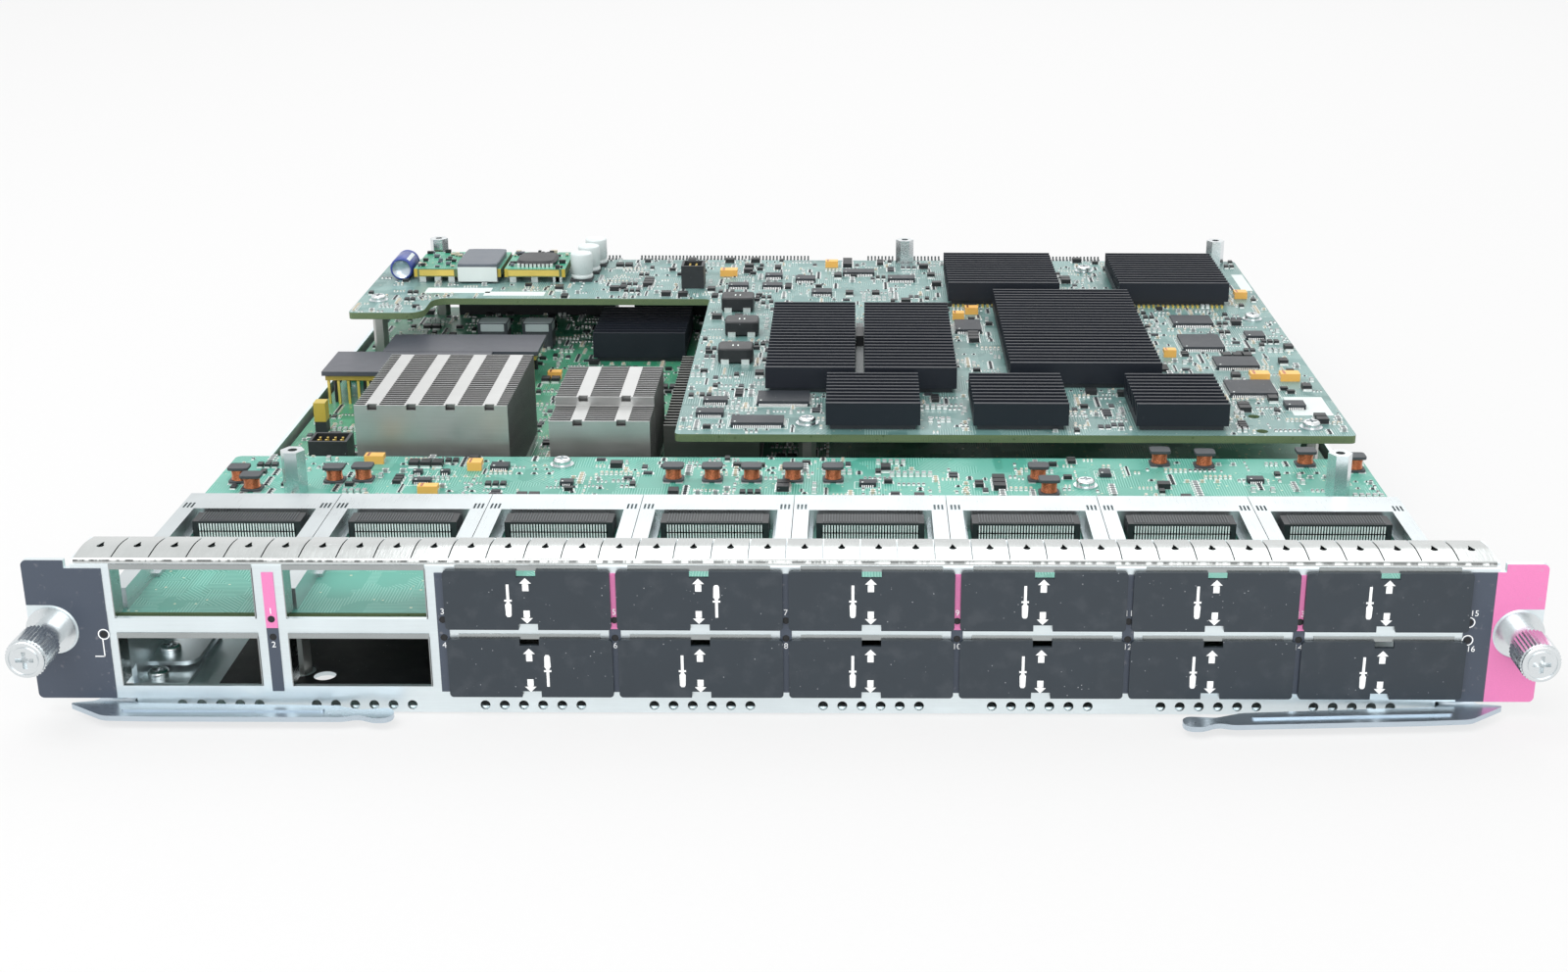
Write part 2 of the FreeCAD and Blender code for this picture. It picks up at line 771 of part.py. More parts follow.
def make_left_bracket():
    """Bent bracket behind the face: a side plate under the guide frames, a foot and a shelf."""
    sheet = tray_sheet
    inner = bracket_inner
    outer = inner - sheet
    frames_bottom = port_board_bottom - frame_height
    shelf_bottom = bracket_shelf_top - sheet
    start = face_sheet
    end = start + bracket_length
    side_span = (bracket_tab_bottom, frames_bottom)
    floor_span = (floor_top, floor_top + sheet)
    tab = block((-centre_half_width, inner), (start, start + sheet), side_span)
    side = block((outer, inner), (start, end), side_span)
    leg = block((outer, inner), (bracket_foot_start, end), (floor_top, bracket_tab_bottom))
    foot = block((inner, inner + bracket_shelf_width), (bracket_foot_start, end), floor_span)
    shelf = plate_xy([
        (outer, bracket_shelf_start, 0),
        (inner + bracket_shelf_width, bracket_shelf_start, 4),
        (inner + bracket_shelf_width, end, 0),
        (outer, end, 0),
    ], shelf_bottom, bracket_shelf_top)
    flange = block((outer - 2, outer), (frame_front, end), (frames_bottom - sheet, frames_bottom))
    bracket = fuse([tab, side, leg, foot, shelf, flange])
    radius = screw_shank_radius + hole_clearance
    holes = [upright(x, y, radius, seat - sheet - 0.1, seat + 1) for x, y, seat in bracket_screw_places()]
    return bracket.cut(holes)


# ---- Boards ----

def board_holes(places, bottom, top):
    radius = screw_shank_radius + hole_clearance
    return [upright(x, y, radius, bottom - 1, top + 1) for x, y in places]


def make_rectangular_board(y_span, z_span, hole_places):
    """A rounded rectangular board, as wide as the card allows, with its fastener holes."""
    corners = rectangle((-board_half_width, board_half_width), y_span, board_corner_radius)
    board = plate_xy(corners, *z_span)
    return board.cut(board_holes(hole_places, *z_span))


def make_port_board():
    spans = ((port_board_front, port_board_back), (port_board_bottom, port_board_top))
    return make_rectangular_board(*spans, port_standoffs + port_screws)


def make_main_board():
    spans = ((main_board_front, main_board_back), (main_board_bottom, main_board_top))
    return make_rectangular_board(*spans, main_board_supports())


def make_upper_board():
    """L-shaped board with a forward tab at its left edge."""
    right = board_half_width
    left = -board_half_width
    board = plate_xy([
        (upper_board_inner_edge, upper_board_front, board_corner_radius),
        (right, upper_board_front, board_corner_radius),
        (right, upper_board_back, board_corner_radius),
        (left, upper_board_back, board_corner_radius),
        (left, upper_tab_front, board_corner_radius),
        (upper_tab_edge, upper_tab_front, 3 * board_corner_radius),
        (upper_tab_edge, upper_board_left_front, 3 * board_corner_radius),
        (upper_board_inner_edge, upper_board_left_front, board_corner_radius),
    ], upper_board_bottom, upper_board_top)
    holes = board_holes(upper_standoffs + upper_screws, upper_board_bottom, upper_board_top)
    for y in plated_hole_rows:
        hole = upright(plated_hole_x, y, plated_hole_radius, upper_board_bottom - 1, upper_board_top + 1)
        holes.append(hole)
    return board.cut(holes)


# ---- Guide frames and sockets ----

def make_bay_frame(centre):
    """A guide frame on top of the port board, open towards the bay and above the module."""
    bottom = port_board_top
    top = bottom + frame_height
    window = around(centre, frame_window_width)
    ledge_top = bottom + frame_ledge_height
    body = block(around(centre, bay_pitch - frame_gap), (frame_front, frame_back), (bottom, top))
    body = body.cut(block(window, (frame_front - 1, frame_window_back), (bottom - 1, top + 1)))
    pieces = [body]
    for ledge in ((window[0], window[0] + frame_ledge_width), (window[1] - frame_ledge_width, window[1])):
        pieces.append(block(ledge, (frame_ledge_front, frame_window_back), (bottom, ledge_top)))
    slots = []
    slot_front = frame_window_back + frame_slot_margin
    slot_y = (slot_front, slot_front + frame_slot_length)
    for side in (-1, 1):
        for step in range(frame_slot_count):
            reach = frame_window_width / 2 + frame_slot_pitch * (step + 0.9)
            slot_x = around(centre + side * reach, frame_slot_width)
            slots.append(block(slot_x, slot_y, (top - 1.5, top + 1)))
    return fuse(pieces).cut(slots)


def make_port_socket(centre):
    """Edge socket at the back of a bay: a long block with a slot towards the faceplate."""
    bottom = port_board_top
    back = frame_window_back - 0.4
    front = back - socket_depth
    half = socket_width / 2
    body = block((centre - half, centre + half), (front, back), (bottom, bottom + socket_height))
    middle = bottom + socket_height / 2
    slot = block((centre - half + 1.5, centre + half - 1.5), (front - 1, front + socket_slot_depth),
                 (middle - socket_slot_height / 2, middle + socket_slot_height / 2))
    notch = block((centre - half - 1, centre + half + 1), (back - 1.8, back + 1),
                  (bottom + socket_height - 1.2, bottom + socket_height + 1))
    return body.cut([slot, notch])


# ---- Heat sinks ----

def make_fin_sink(x_span, y_span, z_span):
    """A black extruded heat sink: a base, upright fins along X and a thicker fin at the front."""
    return section_x(comb(y_span, z_span, fin_pitch, fin_thick, fin_base, fin_front_plate), *x_span)


def comb(y_span, z_span, pitch, fin, base, front):
    """Corner list of a finned section: a base, a front plate and evenly spaced fins behind it."""
    bottom, top = z_span
    valley = bottom + base
    count = max(2, round((y_span[1] - y_span[0] - front) / pitch))
    step = (y_span[1] - y_span[0] - front) / count
    corners = [(y_span[0], bottom, 0), (y_span[1], bottom, 0)]
    for index in reversed(range(count)):
        back = y_span[0] + front + (index + 1) * step
        corners += [(back, top, 0), (back - fin, top, 0)]
        corners += [(back - fin, valley, 0), (back - step, valley, 0)]
    return corners + [(y_span[0] + front, top, 0), (y_span[0], top, 0)]


def make_folded_tier(x_span, y_span, z_span, bands):
    """Thin folded fins with flat interlocked bands across their tops and a notch before each band."""
    fins = section_x(comb(y_span, z_span, thin_fin_pitch, thin_fin_thick, 2.0, 0.6), *x_span)
    top = z_span[1]
    strips = []
    notches = []
    notch_y = (y_span[0] - 1, y_span[0] + fin_notch_depth)
    for centre in bands:
        strips.append(block(around(centre, fin_band_width), y_span, (top - thin_fin_thick, top)))
        notches.append(block(around(centre, fin_notch_width), notch_y, (top - fin_notch_depth, top + 1)))
    return fuse([fins] + strips).cut(notches)


def make_large_heat_sink():
    bottom = main_board_top + chip_height
    centre = sum(large_sink_x) / 2
    bands = [centre + (index - 1.5) * large_sink_band_pitch for index in range(4)]
    return make_folded_tier(large_sink_x, large_sink_y, (bottom, large_sink_top), bands)


def make_small_heat_sink():
    bottom = main_board_top + chip_height
    bands = around(sum(small_sink_x) / 2, small_sink_band_pitch)
    low_y = (small_sink_y[0], small_sink_step_y)
    high_y = (small_sink_step_y, small_sink_y[1])
    low = make_folded_tier(small_sink_x, low_y, (bottom, small_sink_top - small_sink_step), bands)
    high = make_folded_tier(small_sink_x, high_y, (bottom, small_sink_top), bands)
    return fuse([low, high])


def make_fin_heat_sink():
    z_span = (main_board_top + chip_height, upper_board_bottom - fin_sink_gap)
    section = comb(fin_sink_y, z_span, fin_sink_pitch, fin_sink_thick, fin_base, fin_sink_thick)
    return section_x(section, *fin_sink_x)


# ---- Power parts, capacitors, headers and soldered pieces ----

def make_power_modules():
    """Two converters on the upper board: a raised board on legs with a ferrite core through it."""
    modules = []
    front, back = power_module_y
    deck_bottom = upper_board_top + power_deck_gap
    deck_top = deck_bottom + power_deck_thick
    for *places, core_height in power_module_layout:
        left, right, core_left, core_right = [x * spread for x in places]
        core_z = (upper_board_top, upper_board_top + core_height)
        pieces = [block((left, right), power_module_y, (deck_bottom, deck_top))]
        pieces.append(block((core_left, core_right), (front - 1.2, back - 4), core_z))
        leg = power_leg_width
        for x in (left + leg, right - leg):
            for y in (front + leg, back - leg):
                pieces.append(block(around(x, leg), around(y, leg), (upper_board_top, deck_bottom)))
        chip_z = (deck_top, deck_top + power_chip_height)
        for x, y in ((left + 1.5 * leg, back - 3 * leg), (right - 1.5 * leg, back - 2 * leg)):
            pieces.append(block(around(x, 2 * leg), around(y, 1.5 * leg), chip_z))
        modules.append(fuse(pieces))
    return modules


def make_power_bricks():
    """Two flat converters on the main board: a lid on top, a board under it and pins below."""
    bricks = []
    top = main_board_top + brick_height
    lid_bottom = top - brick_lid
    board_z = (lid_bottom - 2.0, lid_bottom - 0.4)
    for left, right, front, back in brick_spans:
        pieces = [block((left, right), (front, back), (lid_bottom, top))]
        pieces.append(block((left + 1, right - 1), (front + 1, back - 1), board_z))
        core_x = (left + brick_core_margin, right - brick_core_margin)
        pin_rows = (front + 5 * brick_pin_radius, back - 5 * brick_pin_radius)
        pieces.append(block(core_x, pin_rows, (main_board_top + 2.5, lid_bottom)))
        for x in (left + 5 * brick_pin_radius, right - 5 * brick_pin_radius):
            for y in pin_rows:
                pieces.append(upright(x, y, brick_pin_radius, main_board_top, lid_bottom))
        bricks.append(fuse(pieces))
    return bricks


def make_capacitors():
    """Three upright cans, one lying can on the upper board and a small lying can on the main board."""
    cans = []
    foot_top = upper_board_top + can_foot
    for x, y in upright_cans:
        foot = block(around(x, 2 * can_radius), around(y, 2 * can_radius), (upper_board_top, foot_top))
        can = upright(x, y, can_radius, foot_top, upper_board_top + can_height)
        cans.append(fuse([foot, can]))
    for x, front, back, radius, floor in lying_cans:
        body = along_y(x, floor + radius, radius, front, back)
        cans.append(body.cut(along_y(x, floor + radius, radius * 0.8, front - 1, front + 0.4)))
    return cans


def make_pin_headers():
    """Open boxes with two rows of pins inside, and one capped pin row."""
    headers = []
    for x_span, y_span, floor, height in header_boxes:
        inner_x = (x_span[0] + header_wall, x_span[1] - header_wall)
        inner_y = (y_span[0] + header_wall, y_span[1] - header_wall)
        box = block(x_span, y_span, (floor, floor + height))
        box = box.cut(block(inner_x, inner_y, (floor + 2.0, floor + height + 1)))
        count = int((inner_x[1] - inner_x[0]) // header_pitch)
        pins = []
        for y in around(sum(y_span) / 2, header_pitch):
            for index in range(count):
                x = sum(x_span) / 2 + (index - (count - 1) / 2) * header_pitch
                pin_z = (floor + 1.0, floor + height - 1.0)
                pins.append(block(around(x, header_pin_width), around(y, header_pin_width), pin_z))
        headers.append(fuse([box] + pins))
    x_span, y_span, floor, height = jumper_block
    headers.append(block(x_span, y_span, (floor, floor + height)))
    return headers


def make_backplane_connectors():
    """Right-angle connectors under the upper board's rear edge, with contact grooves at the back."""
    connectors = []
    bottom = main_board_top
    top = upper_board_bottom - backplane_drop
    back = backplane_back
    under_y = (main_board_back + backplane_gap, back + 1)
    for left, right in backplane_spans:
        body = block((left, right), (back - backplane_depth, back), (bottom, top))
        grooves = [block((left - 1, right + 1), under_y, (bottom - 1, bottom + backplane_undercut))]
        count = int((right - left - 4) // backplane_groove_pitch)
        for index in range(count):
            x = (left + right) / 2 + (index - (count - 1) / 2) * backplane_groove_pitch
            groove_y = (back - backplane_groove_depth, back + 1)
            grooves.append(block(around(x, backplane_groove_width), groove_y, (bottom + 3.0, top - 2.0)))
        connectors.append(body.cut(grooves))
    return connectors


def make_inductors():
    """Drum coils on the port board and square chokes on the upper board."""
    pieces = []
    floor = port_board_top
    top = floor + drum_height
    for x, y in drum_coils:
        plate = (around(x, drum_width), around(y, drum_width * 0.8))
        foot = block(*plate, (floor, floor + drum_plate))
        coil = upright(x, y, drum_width * 0.36, floor + drum_plate, top - drum_plate)
        cap = block(*plate, (top - drum_plate, top))
        pieces.append(fuse([foot, coil, cap]))
    for x, y in square_chokes:
        corners = rectangle(around(x, choke_width), (y, y + choke_depth), 1.0)
        pieces.append(plate_xy(corners, upper_board_top, upper_board_top + choke_height))
    return pieces


def soldered_blocks(places, floor, height):
    """Rectangular pieces, (centre x, centre y, width, depth), standing on one surface."""
    span = (floor, floor + height)
    return [block(around(x, width), around(y, depth), span) for x, y, width, depth in places]


def packages_under(sinks, margin):
    """The package under each heat sink, smaller than its sink by a margin all round."""
    places = []
    for x_span, y_span in sinks:
        width = x_span[1] - x_span[0] - 2 * margin
        depth = y_span[1] - y_span[0] - 2 * margin
        places.append((sum(x_span) / 2, sum(y_span) / 2, width, depth))
    return places


def make_tantalum_capacitors():
    pieces = soldered_blocks(port_tantalums, port_board_top, tantalum_height)
    pieces += soldered_blocks(upper_tantalums, upper_board_top, tantalum_height)
    return pieces + soldered_blocks(main_tantalums, main_board_top, tantalum_height)


def make_ic_packages():
    lower_sinks = [(large_sink_x, large_sink_y), (small_sink_x, small_sink_y)]
    lower_sinks += [(fin_sink_x, fin_sink_y), (dark_sink_x, dark_sink_y)]
    pieces = soldered_blocks(upper_chips, upper_board_top, chip_height)
    upper_packages = packages_under(upper_sink_spans.values(), package_margin)
    pieces += soldered_blocks(upper_packages, upper_board_top, chip_height)
    pieces += soldered_blocks(packages_under(lower_sinks, package_margin), main_board_top, chip_height)
    pieces += soldered_blocks(port_chips, port_board_top, port_chip_height)
    return pieces + soldered_blocks(relays, main_board_top, relay_height)


# ---- Fasteners ----

def make_hex_standoffs():
    """Tapped hexagonal posts for the cover of a neighbouring card."""
    posts = []
    rows = [(port_standoffs, port_board_top, port_standoff_height)]
    rows.append((upper_standoffs, upper_board_top, upper_standoff_height))
    for places, floor, height in rows:
        for x, y in places:
            post = hexagon(x, y, hex_across_flats, floor, floor + height)
            posts.append(post.cut(upright(x, y, screw_shank_radius, floor + 2, floor + height + 1)))
    return posts


def make_board_spacers():
    """Hexagonal spacers between the tray and the boards and between the boards."""
    spans = [(x, y, floor_top, top) for x, y, top in floor_hole_places()]
    for x, y in upper_screws + upper_standoffs:
        spans.append((x, y, main_board_top, upper_board_bottom))
    for x, y in port_screws:
        if y > main_board_front:
            spans.append((x, y, main_board_top, port_board_bottom))
    spacers = []
    for x, y, bottom, top in spans:
        post = hexagon(x, y, spacer_across_flats, bottom, top)
        bore = upright(x, y, screw_shank_radius + hole_clearance, top - screw_bite - 0.3, top + 1)
        spacers.append(post.cut(bore))
    return spacers


def make_screw(x, y, seat, reach, washer_thick):
    """Pan head screw, with a washer if it has a thickness; its shank reaches below its seat."""
    head_bottom = seat + washer_thick
    head_top = head_bottom + screw_head_height
    head = upright(x, y, screw_head_radius, head_bottom, head_top)
    rim = [edge for edge in head.Edges if edge.BoundBox.ZMin > head_top - 0.01]
    head = head.makeFillet(screw_head_height * 0.45, rim)
    pieces = [head, upright(x, y, screw_shank_radius, seat - reach, head_bottom)]
    if washer_thick > 0:
        pieces.append(upright(x, y, screw_washer_radius, seat, head_bottom))
    recess = []
    recess_z = (head_top - screw_recess_depth, head_top + 1)
    long, narrow = screw_recess_length, screw_recess_width
    for width, depth in ((long, narrow), (narrow, long)):
        recess.append(block(around(x, width), around(y, depth), recess_z))
    return fuse(pieces).cut(recess)


def make_board_screws():
    screws = []
    for places, seat, board in ((upper_screws, upper_board_top, upper_board_thick),
                                (port_screws, port_board_top, port_board_thick)):
        for x, y in places:
            screws.append(make_screw(x, y, seat, board + screw_bite, screw_washer_thick))
    for x, y, seat in bracket_screw_places():
        screws += [make_screw(side, y, seat, bracket_screw_reach, 0) for side in (x, -x)]
    return screws


# ---- Ejector levers ----

def make_left_lever():
    """Flat lever: a finger end inboard, a hooked nose outboard and a boss round the rivet."""
    tip = -face_width / 2 + 8.1
    root = -lower_edge_half_width - 0.8
    back = -1.2
    front = -9.2
    inner = -101.0
    blade = plate_xy([
        (tip, back - 0.2, 0.5),
        (tip + 11, front + 0.4, 6),
        (tip + 24, front, 0),
        (inner - 12.5, front, 8),
        (inner - 9.0, front + 1.4, 4),
        (inner - 4.5, front - 0.7, 4),
        (inner, front - 0.4, 2.6),
        (inner, front + 5.8, 2.6),
        (inner - 9.0, front + 4.4, 5),
        (inner - 16.0, back - 1.2, 8),
        (root + 1.4, back, 0),
        (root, back + 1.4, 0),
        (root, lever_pivot_y - 2, 0),
        (-lever_pivot_x - 4.2, lever_pivot_y - 2, 0),
        (-lever_pivot_x - 4.2, back + 1.4, 2),
    ], lever_bottom, lever_top)
    boss = upright(-lever_pivot_x, lever_pivot_y, lever_boss_radius, lever_bottom, lever_top)
    middle = (back + front) / 2 - 0.2
    half = lever_bead_width / 2
    bead = plate_xy(rectangle((tip + 15, inner - 18), (middle - half, middle + half), half * 0.98),
                    lever_top - 0.1, lever_top + lever_bead_height)
    lever = fuse([blade, boss, bead])
    hole_radius = rivet_radius + rivet_running_clearance
    return lever.cut(upright(-lever_pivot_x, lever_pivot_y, hole_radius, 0, lever_top + 1))


def make_right_lever():
    """The left lever mirrored, standing a little open."""
    lever = mirror_x(make_left_lever())
    lever.rotate(vector(lever_pivot_x, lever_pivot_y, 0), vector(0, 0, 1), right_lever_open_angle)
    return lever


def make_rivet(x):
    """Shouldered rivet standing on the tray floor."""
    y = lever_pivot_y
    shoulder = upright(x, y, lever_boss_radius - 1, floor_top, lever_bottom - rivet_side_gap)
    shank = upright(x, y, rivet_radius, floor_top, lever_top + rivet_side_gap + 0.2)
    head_bottom = lever_top + rivet_side_gap
    head = upright(x, y, rivet_head_radius, head_bottom, head_bottom + rivet_head_height)
    return fuse([shoulder, shank, head])


# ---- Captive screws ----

def make_ferrule(x):
    """Sleeve pressed into the ear, with a flange on the face and a lip inside each end."""
    body = along_y(x, captive_z, ferrule_radius, ferrule_front, ferrule_back)
    flange = along_y(x, captive_z, ferrule_flange_radius, -ferrule_flange_thick, 0)
    collar = along_y(x, captive_z, ferrule_radius + 0.8, face_sheet, ferrule_back)
    sleeve = fuse([body, flange, collar])
    bore_y = (ferrule_front + ferrule_lip, ferrule_back - ferrule_lip)
    bore = along_y(x, captive_z, ferrule_bore_radius, *bore_y)
    through = along_y(x, captive_z, ferrule_lip_radius, ferrule_front - 1, ferrule_back + 1)
    return sleeve.cut([bore, through])


def make_screw_ring(x):
    """Ring on the shank that keeps the screw in its ferrule."""
    front = ferrule_front + ferrule_lip + ring_gap
    back = front + ring_thick
    hole_radius = shank_radius + shank_running_clearance
    ring = along_y(x, captive_z, ring_radius, front, back)
    return ring.cut(along_y(x, captive_z, hole_radius, front - 1, back + 1))


def make_captive_screw(x):
    """Knurled knob with a cross recess and a hollow back, on a long threaded shank."""
    corners = []
    for index in range(2 * knob_flutes):
        radius = knob_radius if index % 2 == 0 else knob_radius - knob_flute_depth
        angle = math.pi * index / knob_flutes
        corners.append((x + radius * math.cos(angle), captive_z + radius * math.sin(angle), 0))
    rim_back = knob_front + knob_rim
    knob_back = knob_front + knob_length
    knurl = plate_xz(corners, rim_back, knob_back)
    smooth = knob_radius - knob_flute_depth - 0.1
    cap = along_y(x, captive_z, smooth, knob_front, rim_back)
    cap_rim = [edge for edge in cap.Edges if edge.BoundBox.YMax < knob_front + 0.01]
    cap = cap.makeFillet(0.5, cap_rim)
    knob = fuse([knurl, cap])
    groove = along_y(x, captive_z, smooth - 0.9, knob_front - 1, knob_front + 0.35)
    groove = groove.cut(along_y(x, captive_z, smooth - 1.5, knob_front - 1, knob_front + 1))
    cavity_radius = ferrule_radius + knob_cavity_clearance
    cavity_front = knob_back - ring_travel() - knob_cavity_clearance
    cavity = along_y(x, captive_z, cavity_radius, cavity_front, knob_back + 1)
    recess = []
    recess_back = knob_front + knob_recess_depth
    for wide, tall in ((knob_recess_length, knob_recess_width), (knob_recess_width, knob_recess_length)):
        recess.append(block(around(x, wide), (knob_front - 1, recess_back), around(captive_z, tall)))
    thread_front = shank_back - thread_length
    shank = along_y(x, captive_z, shank_radius, recess_back + 0.3, thread_front)
    thread = along_y(x, captive_z, thread_radius, thread_front, shank_back)
    thread_end = [edge for edge in thread.Edges if edge.BoundBox.YMin > shank_back - 0.01]
    thread = thread.makeChamfer(0.5, thread_end)
    return fuse([knob.cut([groove, cavity] + recess), shank, thread])


def ring_travel():
    """How far the screw can be pushed in before its ring meets the rear lip."""
    ring_back = ferrule_front + ferrule_lip + ring_gap + ring_thick
    return ferrule_back - ferrule_lip - ring_back - ring_gap


# ---- The card ----

def save_front():
    save("faceplate", [make_faceplate()])
    save("edge_gasket", [make_edge_gasket()])
    save("bay_gaskets", make_bay_collars())
    save("left_label", [make_left_label()])
    save("right_label", [make_ear_label()])
    save("column_labels", make_column_labels())
    save("light_pipes", make_light_pipes())
    for column, centre in enumerate(bay_centres[open_columns:], start=open_columns + 1):
        save(f"top_cover_{column}", [make_port_cover(centre, top_bay_floor)])
        save(f"bottom_cover_{column}", [make_port_cover(centre, bottom_bay_floor)])


def save_tray_and_boards():
    bracket = make_left_bracket()
    save("base_tray", [make_base_tray()])
    save("insulator_sheet", [make_insulator_sheet()])
    save("board_brackets", [bracket, mirror_x(bracket)])
    save("port_board", [make_port_board()])
    save("main_board", [make_main_board()])
    save("upper_board", [make_upper_board()])
    frames = [make_bay_frame(centre) for centre in bay_centres]
    sockets = [make_port_socket(centre) for centre in bay_centres]
    save("upper_bay_frames", frames)
    save("lower_bay_frames", [below_port_board(frame) for frame in frames])
    save("upper_port_sockets", sockets)
    save("lower_port_sockets", [below_port_board(socket) for socket in sockets])


def save_board_parts():
    save("large_heat_sink", [make_large_heat_sink()])
    save("small_heat_sink", [make_small_heat_sink()])
    save("fin_heat_sink", [make_fin_heat_sink()])
    dark_z = (main_board_top + chip_height, dark_sink_top)
    save("dark_heat_sink", [make_fin_sink(dark_sink_x, dark_sink_y, dark_z)])
    bottom = upper_board_top + chip_height
    for name, (x_span, y_span) in upper_sink_spans.items():
        save(name, [make_fin_sink(x_span, y_span, (bottom, upper_sink_top))])
    save("power_modules", make_power_modules())
    save("power_bricks", make_power_bricks())
    save("capacitors", make_capacitors())
    save("pin_headers", make_pin_headers())
    save("backplane_connectors", make_backplane_connectors())
    save("inductors", make_inductors())
    save("tantalum_capacitors", make_tantalum_capacitors())
    save("ic_packages", make_ic_packages())


def save_fasteners_and_movers():
    save("hex_standoffs", make_hex_standoffs())
    save("board_spacers", make_board_spacers())
    save("board_screws", make_board_screws())
    save("left_ejector", [make_left_lever()])
    save("right_ejector", [make_right_lever()])
    save("ejector_rivets", [make_rivet(-lever_pivot_x), make_rivet(lever_pivot_x)])
    save("screw_ferrules", [make_ferrule(-captive_x), make_ferrule(captive_x)])
    for side, x in (("left", -captive_x), ("right", captive_x)):
        save(side + "_screw_ring", [make_screw_ring(x)])
        save(side + "_captive_screw", [make_captive_screw(x)])


def main():
    os.makedirs("parts", exist_ok=True)
    save_front()
    save_tray_and_boards()
    save_board_parts()
    save_fasteners_and_movers()


main()
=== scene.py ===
"""The switch line card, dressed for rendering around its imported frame.

Sizes in the classes are in millimetres in the card's own frame: X to the right along the faceplate,
Y backwards from its front face, Z up from the flat underside. Meshes are made in metres.
"""

from __future__ import annotations

import json
import logging
import math
from dataclasses import dataclass, field
from enum import Enum

import bpy
import numpy as np
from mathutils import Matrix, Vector
from mathutils.bvhtree import BVHTree

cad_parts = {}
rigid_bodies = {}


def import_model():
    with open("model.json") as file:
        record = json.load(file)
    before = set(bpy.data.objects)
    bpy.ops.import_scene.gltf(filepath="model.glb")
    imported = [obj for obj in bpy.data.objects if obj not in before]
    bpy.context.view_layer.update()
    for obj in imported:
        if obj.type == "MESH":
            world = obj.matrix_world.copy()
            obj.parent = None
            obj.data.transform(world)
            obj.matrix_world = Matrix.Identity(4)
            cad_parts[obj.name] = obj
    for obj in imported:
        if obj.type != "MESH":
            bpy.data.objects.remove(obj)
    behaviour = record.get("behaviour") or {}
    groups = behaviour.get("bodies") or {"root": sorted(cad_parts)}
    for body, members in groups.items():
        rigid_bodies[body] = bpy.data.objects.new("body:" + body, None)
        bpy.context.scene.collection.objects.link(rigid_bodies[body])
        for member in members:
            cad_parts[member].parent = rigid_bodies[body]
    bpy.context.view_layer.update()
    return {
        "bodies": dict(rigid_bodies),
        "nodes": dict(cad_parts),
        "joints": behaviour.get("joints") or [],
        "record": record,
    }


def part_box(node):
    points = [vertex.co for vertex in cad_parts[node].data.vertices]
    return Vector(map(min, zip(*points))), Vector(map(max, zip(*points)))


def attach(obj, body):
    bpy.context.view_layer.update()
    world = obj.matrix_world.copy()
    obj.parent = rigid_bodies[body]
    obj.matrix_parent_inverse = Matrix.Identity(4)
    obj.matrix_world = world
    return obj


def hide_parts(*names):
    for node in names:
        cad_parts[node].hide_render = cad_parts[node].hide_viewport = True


LOG = logging.getLogger("line_card")
MM = 0.001
CARD = "card"
BAY_PITCH = 44.0
BAY_COUNT = 8
OPEN_BAYS = 2
MID_BAR = 23.9
TALL_NODES = (
    "power_modules", "power_bricks", "capacitors", "pin_headers", "inductors", "tantalum_capacitors",
    "ic_packages", "hex_standoffs", "board_spacers", "board_screws", "backplane_connectors",
)
FRONT_NODES = (
    "upper_bay_frames", "upper_port_sockets", "faceplate", "bay_gaskets", "upper_board", "edge_gasket",
)
# Paper labels on the upper board: middle X, middle Y, width and depth of each
LABEL_PLACES = (
    (-141.0, 316.0, 26.0, 8.0),
    (-118.0, 311.0, 24.0, 6.0),
    (168.0, 168.0, 13.0, 20.0),
    (174.5, 332.0, 4.5, 26.0),
)


def linear(code: str) -> tuple[float, float, float, float]:
    """Turns a hex colour into linear light with full alpha.

    Args:
        code: six hex digits, such as "2f7f72".

    Returns:
        Red, green, blue and alpha, each from 0 to 1.
    """
    levels = [int(code[index:index + 2], 16) / 255 for index in (0, 2, 4)]
    curve = [level / 12.92 if level <= 0.04045 else ((level + 0.055) / 1.055) ** 2.4 for level in levels]
    return (curve[0], curve[1], curve[2], 1.0)


def lined(x: object, y: object, z: object) -> np.ndarray:
    """Points from three coordinates, of which any may be one number shared by all."""
    return np.stack(np.broadcast_arrays(x, y, z), axis=-1)


def spread(middle: float, count: int, pitch: float) -> np.ndarray:
    """Evenly spaced places about a middle."""
    return middle + (np.arange(count) - (count - 1) / 2) * pitch


def ring_quads(rows: int, steps: int) -> np.ndarray:
    """Quads that join each closed ring of points to the next ring."""
    u, v = np.meshgrid(np.arange(rows - 1), np.arange(steps), indexing="ij")
    after = (v + 1) % steps
    corners = (u * steps + v, u * steps + after, (u + 1) * steps + after, (u + 1) * steps + v)
    return np.stack(corners, axis=-1).reshape(-1, 4)


def box_of(node: str) -> tuple[np.ndarray, np.ndarray]:
    """A node's lowest and highest corner in millimetres."""
    low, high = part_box(node)
    return np.array(low) / MM, np.array(high) / MM


def top_of(node: str) -> float:
    """The height of a node's top in millimetres."""
    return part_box(node)[1][2] / MM


# ---- Shader maths ----

